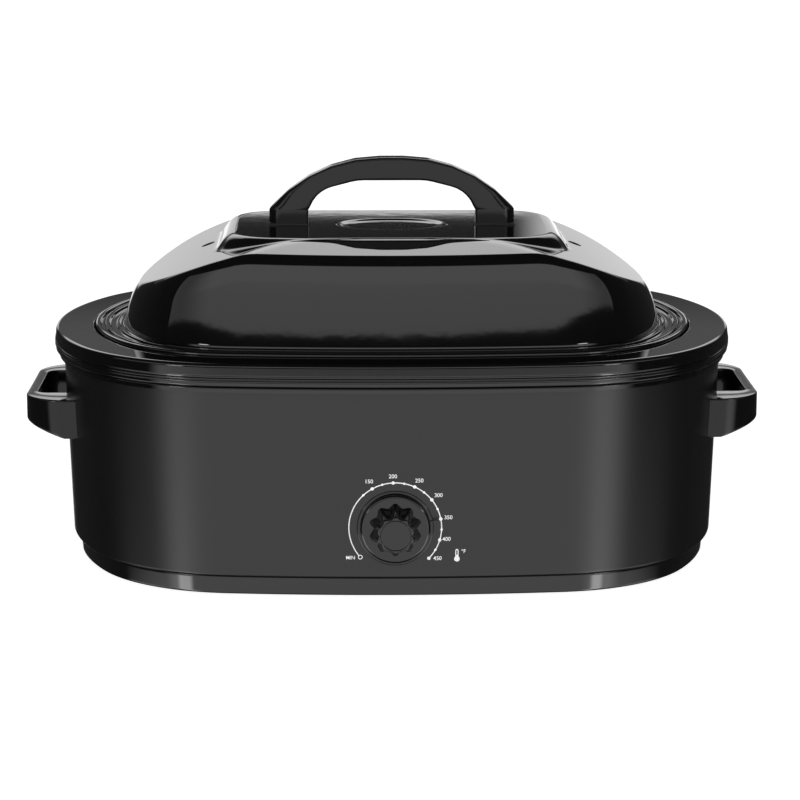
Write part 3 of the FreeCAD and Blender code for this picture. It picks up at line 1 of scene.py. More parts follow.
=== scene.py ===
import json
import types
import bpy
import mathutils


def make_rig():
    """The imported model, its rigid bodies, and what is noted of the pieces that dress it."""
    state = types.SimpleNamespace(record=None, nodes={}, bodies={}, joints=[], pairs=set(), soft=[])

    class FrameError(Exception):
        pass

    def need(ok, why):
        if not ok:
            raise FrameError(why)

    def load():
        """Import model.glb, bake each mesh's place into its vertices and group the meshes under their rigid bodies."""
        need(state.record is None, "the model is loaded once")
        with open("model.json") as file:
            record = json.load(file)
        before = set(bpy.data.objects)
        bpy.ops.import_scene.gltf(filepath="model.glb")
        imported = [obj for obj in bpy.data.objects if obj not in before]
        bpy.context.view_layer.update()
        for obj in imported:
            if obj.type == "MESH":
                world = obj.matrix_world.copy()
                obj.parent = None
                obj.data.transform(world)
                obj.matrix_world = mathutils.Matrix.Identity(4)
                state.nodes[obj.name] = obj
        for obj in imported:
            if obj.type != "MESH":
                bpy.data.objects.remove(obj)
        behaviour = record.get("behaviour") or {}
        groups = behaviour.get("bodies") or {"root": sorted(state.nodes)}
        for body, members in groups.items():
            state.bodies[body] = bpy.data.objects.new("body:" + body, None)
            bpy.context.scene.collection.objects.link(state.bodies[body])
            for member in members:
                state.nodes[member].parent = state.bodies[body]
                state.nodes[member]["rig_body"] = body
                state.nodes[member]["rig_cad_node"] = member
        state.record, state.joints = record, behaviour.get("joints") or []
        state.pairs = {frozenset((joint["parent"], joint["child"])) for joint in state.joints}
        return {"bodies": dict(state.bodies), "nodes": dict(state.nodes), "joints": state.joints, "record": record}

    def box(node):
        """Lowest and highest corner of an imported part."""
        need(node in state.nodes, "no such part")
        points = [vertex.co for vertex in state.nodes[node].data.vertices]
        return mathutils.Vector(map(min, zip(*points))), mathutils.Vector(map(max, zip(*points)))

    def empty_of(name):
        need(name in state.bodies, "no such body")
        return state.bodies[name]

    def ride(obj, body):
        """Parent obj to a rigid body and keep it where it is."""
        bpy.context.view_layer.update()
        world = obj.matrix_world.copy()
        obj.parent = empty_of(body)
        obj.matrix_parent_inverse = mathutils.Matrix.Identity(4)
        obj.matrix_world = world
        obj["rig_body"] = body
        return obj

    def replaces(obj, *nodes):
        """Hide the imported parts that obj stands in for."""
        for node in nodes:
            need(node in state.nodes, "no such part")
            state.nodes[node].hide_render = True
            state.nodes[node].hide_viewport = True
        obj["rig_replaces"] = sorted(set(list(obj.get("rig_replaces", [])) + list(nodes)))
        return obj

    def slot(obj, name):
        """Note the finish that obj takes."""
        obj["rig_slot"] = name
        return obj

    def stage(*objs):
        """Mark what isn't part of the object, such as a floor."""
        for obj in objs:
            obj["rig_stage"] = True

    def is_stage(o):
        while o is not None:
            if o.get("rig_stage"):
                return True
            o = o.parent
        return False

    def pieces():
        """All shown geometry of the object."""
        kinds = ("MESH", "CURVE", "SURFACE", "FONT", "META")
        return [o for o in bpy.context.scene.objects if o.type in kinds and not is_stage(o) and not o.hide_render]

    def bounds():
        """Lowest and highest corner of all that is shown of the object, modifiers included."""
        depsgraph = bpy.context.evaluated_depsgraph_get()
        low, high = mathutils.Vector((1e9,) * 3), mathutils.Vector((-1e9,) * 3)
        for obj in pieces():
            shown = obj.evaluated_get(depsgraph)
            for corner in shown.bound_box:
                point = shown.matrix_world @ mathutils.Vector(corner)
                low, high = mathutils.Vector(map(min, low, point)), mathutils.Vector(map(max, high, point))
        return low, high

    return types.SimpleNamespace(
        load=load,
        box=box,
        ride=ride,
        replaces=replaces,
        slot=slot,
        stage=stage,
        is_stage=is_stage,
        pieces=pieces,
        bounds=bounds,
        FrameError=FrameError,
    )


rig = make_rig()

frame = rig.load()

import json
import math

import bpy
import numpy as np
from bpy.props import FloatProperty, FloatVectorProperty, PointerProperty
from mathutils import Vector

bl_info = {
    "name": "Electric roaster oven",
    "version": (1, 0, 0),
    "blender": (4, 5, 0),
    "location": "3D View > Sidebar > Roaster",
    "description": "Dresses the roaster oven: painted body, enamelled pan and lid, handles and dial",
    "category": "Object",
}

SIZE_FILE = "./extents.json"
CAD_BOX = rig.bounds()

# ---- Places taken from the frame, metres ----
BODY_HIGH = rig.box("body_shell")[1]
RING_LOW, RING_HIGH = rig.box("base_ring")
WELL_LOW, WELL_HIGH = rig.box("heating_well")
PAN_LOW, PAN_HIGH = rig.box("cooking_pan")
LID_LOW, LID_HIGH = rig.box("lid_shell")
BRIDGE_LOW, BRIDGE_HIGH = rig.box("lid_handle")
GRIP_LOW, GRIP_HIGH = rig.box("side_handle_right")
BEZEL_LOW, BEZEL_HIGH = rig.box("dial_bezel")
KNOB_LOW, KNOB_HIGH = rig.box("control_knob")
CAP_LOW, CAP_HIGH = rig.box("knob_cap")
KNOB_AXIS = Vector(next(j for j in frame["joints"] if j["name"] == "knob_turn")["pos_m"])
CAP_RADIUS = (CAP_HIGH.x - CAP_LOW.x) / 2
CAP_BACK = KNOB_AXIS.y - CAP_HIGH.y

# ---- Plan outline of the body at its foot ----
FLARE = 0.0055              # how far the body leans out by its top edge
HALF_LENGTH = BODY_HIGH.x - FLARE
HALF_DEPTH = BODY_HIGH.y - FLARE
SIDE_RADIUS = 1.2
END_RADIUS = 0.253
CORNER_RADIUS = 0.133
OUTLINE = (HALF_LENGTH, HALF_DEPTH, SIDE_RADIUS, END_RADIUS, CORNER_RADIUS)
BODY_FOOT = RING_HIGH.z
BODY_TOP = BODY_HIGH.z
BODY_SLOPE = FLARE / (BODY_TOP - BODY_FOOT)

# ---- How finely surfaces are worked out ----
END_STEPS = 14
CORNER_STEPS = 30
SIDE_STEPS = 22
BEND_TURN = math.radians(11)
HOLD = 0.0005               # a straight run is held flat this close to its bends
SHARP = math.radians(38)
NEARLY_STRAIGHT = 1e-4      # a smaller turn, in radians, gets no arc
SAME_POINT = 1e-7
FLOOR_SHARES = np.linspace(0.08, 1.0, 9)[:-1]    # rings of a vessel's floor, as shares of its edge

QUARTER = math.pi / 2


# ======================= Sizes and colours a user can change =======================

def size(name, default, description):
    """A length in metres."""
    return FloatProperty(name=name, description=description, default=default, precision=4,
                         min=0.0, unit="LENGTH", subtype="DISTANCE")


def colour(name, default, description):
    """A linear red, green and blue."""
    return FloatVectorProperty(name=name, description=description, default=default, size=3,
                               min=0.0, max=1.0, subtype="COLOR")


def share(name, default, description, high=1.0):
    """A plain number from nought."""
    return FloatProperty(name=name, description=description, default=default, min=0.0, max=high,
                         subtype="FACTOR" if high == 1.0 else "NONE")


class ROASTER_PG_base(bpy.types.PropertyGroup):
    """Sheets of the body, its ring and the heating well."""
    sheet: size("Sheet", 0.0006, "Thickness of the body's and the well's sheet")
    ring_sheet: size("Ring sheet", 0.0008, "Thickness of the base ring")
    foot_bend: size("Foot bend", 0.002, "Bend of the body into its foot")
    hem: size("Foot hem", 0.018, "Width of the body's in-turned foot")
    ring_step: size("Ring step", 0.0046, "How far the base ring stands inside the body's foot")
    ring_taper: size("Ring taper", 0.0013, "How far the ring draws in towards the floor")
    ring_lip: size("Ring lip", 0.0154, "Width of the ring's top lip")
    well_hem: size("Well hem", 0.0045, "Drop of the well's hem over the body's edge")
    well_mouth: size("Well mouth", 0.017, "The well's mouth, in from the plan outline")
    well_taper: size("Well taper", 0.0085, "How far the well draws in by its floor")
    well_bend: size("Well bend", 0.028, "Bend between the well's wall and floor")


class ROASTER_PG_pan(bpy.types.PropertyGroup):
    """Sizes of the cooking pan."""
    sheet: size("Sheet", 0.0009, "Thickness of the enamelled sheet")
    flange: size("Flange", 0.0316, "Flat top of the rim, outer edge to recess")
    edge_bend: size("Edge bend", 0.0032, "Rounding of the rim's outer edge")
    skirt_flare: size("Skirt flare", 0.0016, "How far the skirt stands out at its foot")
    recess: size("Recess", 0.004, "Depth of the lid's seat")
    ledge: size("Ledge", 0.007, "Width of the lid's seat")
    bead: size("Bead", 0.0009, "Radius of the two beads under the skirt")
    taper: size("Taper", 0.0085, "How far the wall draws in by the floor")
    bend: size("Bend", 0.024, "Bend between the wall and the floor")


class ROASTER_PG_lid(bpy.types.PropertyGroup):
    """Sizes of the lid."""
    sheet: size("Sheet", 0.0007, "Thickness of the enamelled sheet")
    wall: size("Wall", 0.044, "Foot of the dome, in from the plan outline")
    shoulder: size("Shoulder blend", 0.018, "Height over which the dome's wall bends into its roof")
    dimple_length: size("Dimple length", 0.044, "Half length of the dimple under the handle")
    dimple_depth: size("Dimple width", 0.034, "Half width of the dimple, front to rear")
    dimple: size("Dimple drop", 0.0016, "Depth of the dimple under the handle")
    bead: size("Bead", 0.0062, "Height of the brim's outer bead")


class ROASTER_PG_handles(bpy.types.PropertyGroup):
    """Sizes of the lid's bridge handle and of the side handles."""
    bridge_depth: size("Bridge depth", 0.0185, "Depth of the bridge at its middle")
    foot: size("Foot", 0.0317, "Length of each foot of the bridge")
    edge: size("Edge", 0.0022, "Rounding of the bridge's long edges")
    knee: size("Knee rounding", 0.0105, "Rounding of the upright edges of the feet")
    grip_bar: size("Grip bar", 0.0082, "Thickness of a side handle's outer bar")
    grip_arm: size("Grip arm", 0.034, "Width of a side handle's arms")
    grip_corner: size("Grip corner", 0.037, "Outer corner of a side handle")
    grip_edge: size("Grip edge", 0.0016, "Rounding of a side handle's edges")


class ROASTER_PG_dial(bpy.types.PropertyGroup):
    """Sizes of the knob, its bezel and the printed scale."""
    scale_radius: size("Scale radius", 0.0354, "Radius of the printed arc")
    line: size("Line", 0.0008, "Width of the printed arc")
    letter: size("Letter", 0.0043, "Size of the printed figures")
    disc: size("Disc", 0.027, "Radius of the knob's disc")
    grip_base: size("Grip base", 0.02, "Radius of the grip at the disc")
    grip_cap: size("Grip cap", 0.0141, "Radius of the grip at its end")
    scallop: size("Scallop", 0.0031, "Depth of the scallops at the disc")
    pointer: size("Pointer", 0.0013, "Width of the pointer")


class ROASTER_PG_finish(bpy.types.PropertyGroup):
    """Colours of the finishes that show most."""
    body: colour("Body paint", (0.009, 0.009, 0.0092), "Satin paint of the body")
    ring: colour("Base paint", (0.010, 0.010, 0.0103), "Paint of the base ring")
    enamel: colour("Enamel", (0.0048, 0.0048, 0.0052), "Gloss enamel of the lid and the pan")
    handle: colour("Handle plastic", (0.008, 0.008, 0.009), "Moulded plastic of the handles")
    knob: colour("Knob plastic", (0.008, 0.008, 0.009), "Moulded plastic of the knob")
    printing: colour("Print", (0.82, 0.82, 0.82), "Ink of the dial's scale")


class ROASTER_PG_studio(bpy.types.PropertyGroup):
    """Camera, floor and light."""
    distance: size("Camera distance", 2.4, "From the camera to the point it looks at")
    aim: size("Aim height", 0.13, "Height of the point the camera looks at")
    light: share("Light", 1.0, "Strength of all the lights", 10.0)


# ======================= Surfaces =======================

def oval(shape, angle):
    """Centre and radius of the arc of an oval where the oval's normal has that plan angle.

    shape is (half length, half depth, side radius, end radius, corner radius). The oval is eight
    tangent arcs. A corner's centre lies at side radius - corner radius from the side's centre and at
    end radius - corner radius from the end's centre. Angles are folded into the first quarter."""
    half_length, half_depth, side_r, end_r, corner_r = shape
    end_x = half_length - end_r
    side_y = half_depth - side_r
    reach_side = side_r - corner_r
    reach_end = end_r - corner_r
    apart = np.hypot(end_x, side_y)
    along = (reach_side ** 2 - reach_end ** 2 + apart ** 2) / (2 * apart)
    aside = np.sqrt(reach_side ** 2 - along ** 2)
    corner_x = (along * end_x - aside * side_y) / apart
    corner_y = side_y - (along * side_y + aside * end_x) / apart
    low = np.arctan2(corner_y, corner_x - end_x)
    high = np.arctan2(corner_y - side_y, corner_x)
    lean = np.arctan2(np.abs(np.sin(angle)), np.abs(np.cos(angle)))
    at_end, at_side = lean < low, lean > high
    centre_x = np.where(at_end, end_x, np.where(at_side, 0.0, corner_x)) * np.sign(np.cos(angle))
    centre_y = np.where(at_end, 0.0, np.where(at_side, side_y, corner_y)) * np.sign(np.sin(angle))
    radius = np.where(at_end, end_r, np.where(at_side, side_r, corner_r))
    return centre_x, centre_y, radius


def plan_angles():
    """Normal angles once round the plan outline, evenly spread within each of its arcs."""
    corner = oval(OUTLINE, math.pi / 4)
    low = math.atan2(corner[1], corner[0] - (HALF_LENGTH - END_RADIUS))
    high = math.atan2(corner[1] - (HALF_DEPTH - SIDE_RADIUS), corner[0])
    quarter = np.concatenate([
        np.linspace(0, low, END_STEPS, endpoint=False),
        np.linspace(low, high, CORNER_STEPS, endpoint=False),
        np.linspace(high, QUARTER, SIDE_STEPS, endpoint=False)])
    half = np.concatenate([quarter, math.pi - quarter[:0:-1], [QUARTER]])
    half.sort()
    return np.concatenate([half, half + math.pi])


AROUND = plan_angles()


def rings(shape, out, height):
    """Rows of points round an oval: arc centre + (arc radius + out) x normal, at that height.

    out, height and the oval's own sizes may each be one number or one for each row."""
    rows = np.maximum(np.size(out), np.size(height))
    out = np.broadcast_to(np.asarray(out, float), rows)[:, None]
    height = np.broadcast_to(np.asarray(height, float), rows)[:, None]
    shape = [np.broadcast_to(np.asarray(value, float), rows)[:, None] for value in shape]
    centre_x, centre_y, radius = oval(shape, AROUND[None, :])
    x = centre_x + (radius + out) * np.cos(AROUND)
    y = centre_y + (radius + out) * np.sin(AROUND)
    return np.stack([x, y, np.broadcast_to(height, x.shape)], axis=-1)


def drawn_in(ring, shares):
    """Copies of a level ring drawn in towards its middle: x and y times each share."""
    scale = np.asarray(shares, float)[:, None, None] * np.array([1.0, 1.0, 0.0]) + np.array([0, 0, 1.0])
    return ring[None] * scale


def side_y(x, out):
    """Half depth of the plan outline moved out by out, at x, along its side arc."""
    return HALF_DEPTH - SIDE_RADIUS + np.sqrt((SIDE_RADIUS + out) ** 2 - np.square(x))


def end_x(y, out):
    """Half length of the plan outline moved out by out, at y, along its end arc."""
    return HALF_LENGTH - END_RADIUS + np.sqrt((END_RADIUS + out) ** 2 - np.square(y))


def body_out(z):
    """How far the body's outer face stands outside the plan outline at height z."""
    return BODY_SLOPE * (z - BODY_FOOT)


def bent(corners):
    """A flat path through (u, v, bend radius): each corner is an arc tangent to both its runs.

    The arc's tangent length is the radius times the tangent of half the turn. Points a hold's width
    from each bend keep the straight runs flat under smooth shading."""
    points = [np.array([corners[0][:2]], float)]
    for i in range(1, len(corners) - 1):
        before, here, after = (np.array(corners[k][:2], float) for k in (i - 1, i, i + 1))
        back = (before - here) / np.linalg.norm(before - here)
        ahead = (after - here) / np.linalg.norm(after - here)
        half = math.acos(float(np.clip(back @ ahead, -1, 1))) / 2
        radius = corners[i][2]
        if not radius or half > QUARTER - NEARLY_STRAIGHT:
            points.append(here[None])
            continue
        run = radius / math.tan(half)
        middle = (back + ahead) / np.linalg.norm(back + ahead)
        centre = here + middle * (radius / math.sin(half))
        turn = math.pi - 2 * half
        count = max(3, int(math.ceil(turn / BEND_TURN)) + 1)
        start = here + back * run - centre
        sense = math.copysign(1.0, back[1] * ahead[0] - back[0] * ahead[1])
        sweep = sense * np.linspace(0, turn, count)
        arc = centre + np.stack([start[0] * np.cos(sweep) - start[1] * np.sin(sweep),
                                 start[0] * np.sin(sweep) + start[1] * np.cos(sweep)], axis=-1)
        points.append(arc)
    points.append(np.array([corners[-1][:2]], float))
    return held_flat(points)


def held_flat(stretches):
    """Joins stretches of points, with a point a hold's width from each end of a long straight run."""
    joined = [stretches[0]]
    for stretch in stretches[1:]:
        last, first = joined[-1][-1], stretch[0]
        run = first - last
        length = np.linalg.norm(run)
        if length > 4 * HOLD:
            joined.append(np.array([last + run * HOLD / length, first - run * HOLD / length]))
        joined.append(stretch)
    path = np.concatenate(joined)
    keep = np.append(True, np.linalg.norm(np.diff(path, axis=0), axis=1) > SAME_POINT)
    return path[keep]


def moved_left(path, distance):
    """The path moved to its left: each point goes along the sum of its two runs' normals."""
    runs = np.diff(path, axis=0)
    runs /= np.linalg.norm(runs, axis=1)[:, None]
    normals = np.stack([-runs[:, 1], runs[:, 0]], axis=-1)
    before = np.vstack([normals[:1], normals])
    after = np.vstack([normals, normals[-1:]])
    reach = distance / (1 + np.sum(before * after, axis=1))
    return path + (before + after) * reach[:, None]


def eased(amount, share):
    """The amount times a smooth step: amount x share^2 x (3 - 2 share)."""
    return amount * share * share * (3 - 2 * share)


def circle_points(centre, radius, start, end, count):
    """Points of an arc, as (u, v)."""
    angle = np.linspace(start, end, count)
    return np.stack([centre[0] + radius * np.cos(angle), centre[1] + radius * np.sin(angle)], axis=-1)


# ======================= Meshes =======================

def grid_faces(rows, columns, close_rows):
    """Four-sided faces of a grid whose columns close on themselves, and its rows if close_rows."""
    last = rows if close_rows else rows - 1
    i, j = np.meshgrid(np.arange(last), np.arange(columns), indexing="ij")
    up, right = (i + 1) % rows, (j + 1) % columns
    return np.stack([i * columns + j, i * columns + right, up * columns + right,
                     up * columns + j], axis=-1).reshape(-1, 4)


def signed_volume(points, faces):
    """A sixth of the sum of triple products over the faces' triangles."""
    total = 0.0
    for k in range(1, faces.shape[1] - 1):
        a, b, c = points[faces[:, 0]], points[faces[:, k]], points[faces[:, k + 1]]
        total += np.einsum("ij,ij->", a, np.cross(b, c))
    return total / 6


def linked(name, data):
    """A new object of that data, in the scene."""
    made = bpy.data.objects.new(name, data)
    bpy.context.scene.collection.objects.link(made)
    return made


def mesh_piece(name, points, faces, sharp=SHARP):
    """A smooth object of these points and lists of faces, turned so that its faces look outwards."""
    if sum(signed_volume(points, group) for group in faces) < 0:
        faces = [group[:, ::-1] for group in faces]
    mesh = bpy.data.meshes.new(name)
    mesh.from_pydata(points.tolist(), [], [face for group in faces for face in group.tolist()])
    mesh.update()
    mesh.polygons.foreach_set("use_smooth", np.ones(len(mesh.polygons), bool))
    if sharp:
        mesh.set_sharp_from_angle(angle=sharp)
    return linked(name, mesh)


def grid_mesh(grid, close_rows=False, poles=None):
    """Points and faces of a grid. poles are the two middle points that close its first and last rows."""
    rows, columns = grid.shape[:2]
    points = grid.reshape(-1, 3)
    faces = [grid_faces(rows, columns, close_rows)]
    if poles is not None:
        first = np.arange(columns)
        last = first + (rows - 1) * columns
        start, end = len(points), len(points) + 1
        points = np.vstack([points, np.asarray(poles, float)])
        faces.append(np.stack([np.full(columns, start), np.roll(first, -1), first], axis=-1))
        faces.append(np.stack([np.full(columns, end), last, np.roll(last, -1)], axis=-1))
    return points, faces


def bar_piece(name, grid):
    """A bar closed at the middle of each end."""
    return mesh_piece(name, *grid_mesh(grid, poles=[grid[0].mean(axis=0), grid[-1].mean(axis=0)]))


def joined_meshes(parts):
    """Points and faces of several closed meshes as one."""
    points, quads, triangles, start = [], [], [], 0
    for some_points, some_faces in parts:
        volume = sum(signed_volume(some_points, group) for group in some_faces)
        for group in some_faces:
            group = (group if volume > 0 else group[:, ::-1]) + start
            (quads if group.shape[1] == 4 else triangles).append(group)
        points.append(some_points)
        start += len(some_points)
    faces = [np.vstack(groups) for groups in (quads, triangles) if groups]
    return np.vstack(points), faces


def sheet_round_body(path, thickness):
    """Grid of a closed sheet carried round the body: the path, and back along its left side."""
    loop = np.vstack([path, moved_left(path, thickness)[::-1]])
    return rings(OUTLINE, loop[:, 0], loop[:, 1])


def vessel(path, thickness):
    """Grid and poles of a pressed vessel: floor, wall and rim on its upper side, then its under side."""
    upper = rings(OUTLINE, path[::-1, 0], path[::-1, 1])
    lower_path = moved_left(path, thickness)
    lower = rings(OUTLINE, lower_path[:, 0], lower_path[:, 1])
    grid = np.concatenate([drawn_in(upper[0], FLOOR_SHARES), upper, lower,
                           drawn_in(lower[-1], FLOOR_SHARES[::-1])])
    return grid, [(0, 0, path[-1, 1]), (0, 0, lower_path[-1, 1])]


def rounded_bar(corners, radii, steps=5):
    """Grid of a bar whose section is a four-cornered figure with rounded corners.

    corners are four curves of as many points each, in order round the section, and radii the four
    corners' rounding, one number or one for each point. Each corner is an arc between its two sides:
    corner + r (a + b) - r (a cos t + b sin t), where a and b point to its neighbours."""
    turn = np.linspace(0, QUARTER, steps)
    columns = []
    for k in range(4):
        here, before, after = corners[k], corners[k - 1], corners[(k + 1) % 4]
        to_before = before - here
        to_after = after - here
        a = to_before / np.linalg.norm(to_before, axis=1)[:, None]
        b = to_after / np.linalg.norm(to_after, axis=1)[:, None]
        r = np.broadcast_to(np.asarray(radii[k], float), len(here))[:, None, None]
        middle = here[:, None] + r * (a + b)[:, None]
        arc = b[:, None] * np.cos(turn)[None, :, None] + a[:, None] * np.sin(turn)[None, :, None]
        columns.append(middle - r * arc)
    return np.concatenate(columns, axis=1)


def turned(profile, lobes=None, steps=96):
    """Grid of a turned piece about the dial's axis: profile is (radius, distance ahead of the wall).

    lobes, if given, returns how much the radius is cut at each row and angle."""
    angle = np.linspace(0, 2 * math.pi, steps, endpoint=False)
    radius = np.broadcast_to(profile[:, :1], (len(profile), steps)).copy()
    if lobes:
        radius -= lobes(profile, angle)
    x = KNOB_AXIS.x + radius * np.cos(angle)
    z = KNOB_AXIS.z + radius * np.sin(angle)
    y = np.broadcast_to(KNOB_AXIS.y - profile[:, 1:], x.shape)
    return np.stack([x, y, z], axis=-1)


# ======================= Finishes =======================

def new_group(name, inputs, outputs):
    """An empty shader group with those sockets: (name, kind, default)."""
    group = bpy.data.node_groups.new(name, "ShaderNodeTree")
    for direction, sockets in (("INPUT", inputs), ("OUTPUT", outputs)):
        for label, kind, default in sockets:
            socket = group.interface.new_socket(name=label, in_out=direction, socket_type=kind)
            if default is not None:
                socket.default_value = default
    return group, group.nodes.new("NodeGroupInput"), group.nodes.new("NodeGroupOutput")


def add_node(tree, kind, inputs=None, **settings):
    """A node with its settings, and its inputs linked where they are sockets or set where not."""
    node = tree.nodes.new(kind)
    for key, value in settings.items():
        setattr(node, key, value)
    for key, value in (inputs or {}).items():
        if isinstance(value, bpy.types.NodeSocket):
            tree.links.new(value, node.inputs[key])
        else:
            node.inputs[key].default_value = value
    return node


def maths(tree, operation, *values):
    """Output of a math node."""
    return add_node(tree, "ShaderNodeMath", dict(enumerate(values)), operation=operation).outputs[0]


def noise(tree, vector, scale, detail=2.0, warp=0.0):
    """Output of a noise texture about 0.5."""
    inputs = {"Vector": vector, "Scale": scale, "Detail": detail, "Distortion": warp}
    return add_node(tree, "ShaderNodeTexNoise", inputs).outputs[0]


def spread(tree, value, middle, width):
    """middle + width x (value - 0.5)."""
    return maths(tree, "MULTIPLY_ADD", maths(tree, "SUBTRACT", value, 0.5), width, middle)


VALUE = "NodeSocketFloat"
COLOUR = "NodeSocketColor"
VECTOR = "NodeSocketVector"
SURFACE_OUT = (("Color", COLOUR, None), ("Roughness", VALUE, None), ("Height", VALUE, None))


def shaded(tree, base, amount):
    """The base colour times an amount."""
    return add_node(tree, "ShaderNodeVectorMath", {0: base, 3: amount}, operation="SCALE").outputs[0]


BROAD_DETAIL = 4.0
BRUSH_SQUEEZE = (0.03, 1.0, 1.0)
WOOL_DETAIL = 6.0
WOOL_WARP = 2.5


def finish_group(group, given, out, tone, gloss, height):
    """Links a group's outputs from its noises.

    Colour is base x (1 + shade (tone - 0.5)), and roughness is roughness + spread (gloss - 0.5)."""
    tint = spread(group, tone, 1.0, given.outputs["Shade"])
    rough = spread(group, gloss, given.outputs["Roughness"], given.outputs["Spread"])
    group.links.new(shaded(group, given.outputs["Base"], tint), out.inputs["Color"])
    group.links.new(rough, out.inputs["Roughness"])
    group.links.new(height, out.inputs["Height"])
    return group


def grain_group():
    """Fine grain with broad, faint clouds: colour, roughness and height from two noises."""
    group, given, out = new_group("fine_grain", (
        ("Vector", VECTOR, None), ("Base", COLOUR, (0.1, 0.1, 0.1, 1)), ("Grain", VALUE, 900.0),
        ("Clouds", VALUE, 9.0), ("Shade", VALUE, 0.2), ("Roughness", VALUE, 0.4),
        ("Spread", VALUE, 0.1)), SURFACE_OUT)
    fine = noise(group, given.outputs["Vector"], given.outputs["Grain"])
    broad = noise(group, given.outputs["Vector"], given.outputs["Clouds"], BROAD_DETAIL)
    mixed = maths(group, "MULTIPLY_ADD", fine, 0.5, maths(group, "MULTIPLY", broad, 0.5))
    return finish_group(group, given, out, mixed, broad, fine)


def brushed_group():
    """Fine lines along one axis: the coordinates are squeezed along it before the noise."""
    group, given, out = new_group("brushed_lines", (
        ("Vector", VECTOR, None), ("Base", COLOUR, (0.5, 0.5, 0.5, 1)), ("Lines", VALUE, 700.0),
        ("Shade", VALUE, 0.3), ("Roughness", VALUE, 0.3), ("Spread", VALUE, 0.25)), SURFACE_OUT)
    squeezed = add_node(group, "ShaderNodeMapping", {"Vector": given.outputs["Vector"],
                                                     "Scale": BRUSH_SQUEEZE})
    lines = noise(group, squeezed.outputs[0], given.outputs["Lines"], BROAD_DETAIL)
    return finish_group(group, given, out, lines, lines, lines)


def wool_group():
    """Matted fibres: stretched noise warped by another."""
    group, given, out = new_group("matted_fibres", (
        ("Vector", VECTOR, None), ("Base", COLOUR, (0.7, 0.6, 0.3, 1)), ("Fibres", VALUE, 260.0),
        ("Shade", VALUE, 0.8), ("Roughness", VALUE, 0.9), ("Spread", VALUE, 0.1)), SURFACE_OUT)
    fibres = noise(group, given.outputs["Vector"], given.outputs["Fibres"], WOOL_DETAIL, WOOL_WARP)
    return finish_group(group, given, out, fibres, fibres, fibres)


GROUP_MAKERS = {"fine_grain": grain_group, "brushed_lines": brushed_group, "matted_fibres": wool_group}


def surface_finish(name, kind, base, values, metallic=0.0, bump=0.0, shader=None):
    """A Principled material whose colour, roughness and bump come from one of the shared groups."""
    title = name + "_finish"
    known = bpy.data.materials.get(title)
    if known:
        return known
    material = bpy.data.materials.new(title)
    material.use_nodes = True
    tree = material.node_tree
    principled = tree.nodes["Principled BSDF"]
    group = add_node(tree, "ShaderNodeGroup",
                     node_tree=bpy.data.node_groups.get(kind) or GROUP_MAKERS[kind]())
    place = add_node(tree, "ShaderNodeTexCoord")
    tree.links.new(place.outputs["Object"], group.inputs["Vector"])
    group.inputs["Base"].default_value = (*base, 1.0)
    for label, value in values.items():
        group.inputs[label].default_value = value
    tree.links.new(group.outputs["Color"], principled.inputs["Base Color"])
    tree.links.new(group.outputs["Roughness"], principled.inputs["Roughness"])
    if bump:
        raised = add_node(tree, "ShaderNodeBump", {"Strength": 1.0, "Distance": bump,
                                                   "Height": group.outputs["Height"]})
        tree.links.new(raised.outputs[0], principled.inputs["Normal"])
    principled.inputs["Metallic"].default_value = metallic
    for label, value in (shader or {}).items():
        principled.inputs[label].default_value = value
    return material


# Finishes of the new pieces, each by its own function. Scales of a pattern are per metre, and a bump's
# height is in metres.
GLOSS_ENAMEL = {"IOR": 1.54}
DULL_PLASTIC = {"IOR": 1.39}
WHITE = (1.0, 1.0, 1.0, 1.0)
# The dial's ink emits a little light: a painted glow that brightens the print under any lamp.
INK_PAINTED_GLOW = {"Emission Color": WHITE, "Emission Strength": 0.5}


def body_paint(finish):
    return surface_finish("body_paint", "fine_grain", finish.body, bump=0.000004, values={
        "Grain": 1400.0, "Clouds": 6.0, "Shade": 0.12, "Roughness": 0.29, "Spread": 0.05})


def base_paint(finish):
    return surface_finish("base_paint", "fine_grain", finish.ring, bump=0.000003, values={
        "Grain": 1400.0, "Clouds": 8.0, "Shade": 0.1, "Roughness": 0.07, "Spread": 0.02})


def black_enamel(finish):
    return surface_finish("black_enamel", "fine_grain", finish.enamel,
                          bump=0.000006, shader=GLOSS_ENAMEL, values={
        "Grain": 60.0, "Clouds": 4.0, "Shade": 0.3, "Roughness": 0.022, "Spread": 0.015})


def speckled_enamel(finish):
    return surface_finish("pan_enamel", "fine_grain", finish.enamel,
                          bump=0.000008, shader=GLOSS_ENAMEL, values={
        "Grain": 80.0, "Clouds": 5.0, "Shade": 0.4, "Roughness": 0.03, "Spread": 0.02})


def handle_plastic(finish):
    return surface_finish("handle_plastic", "fine_grain", finish.handle,
                          bump=0.0000012, shader=DULL_PLASTIC, values={
        "Grain": 2400.0, "Clouds": 14.0, "Shade": 0.25, "Roughness": 0.11, "Spread": 0.04})


def ferrule_plastic(finish):
    return surface_finish("ferrule_plastic", "fine_grain", finish.enamel, bump=0.000003, values={
        "Grain": 500.0, "Clouds": 20.0, "Shade": 0.2, "Roughness": 0.09, "Spread": 0.04})


def knob_plastic(finish):
    return surface_finish("knob_plastic", "fine_grain", finish.knob, bump=0.0000012, values={
        "Grain": 2600.0, "Clouds": 30.0, "Shade": 0.2, "Roughness": 0.1, "Spread": 0.04})


def bezel_plastic(finish):
    return surface_finish("bezel_plastic", "fine_grain", finish.enamel, bump=0.0000012, values={
        "Grain": 1200.0, "Clouds": 30.0, "Shade": 0.2, "Roughness": 0.11, "Spread": 0.03})


def dial_ink(finish):
    # The ink takes a painted glow (emission) on top of its white colour.
    return surface_finish("dial_ink", "fine_grain", finish.printing,
                          bump=0.000002, shader=INK_PAINTED_GLOW, values={
        "Grain": 3000.0, "Clouds": 90.0, "Shade": 0.12, "Roughness": 0.5, "Spread": 0.1})


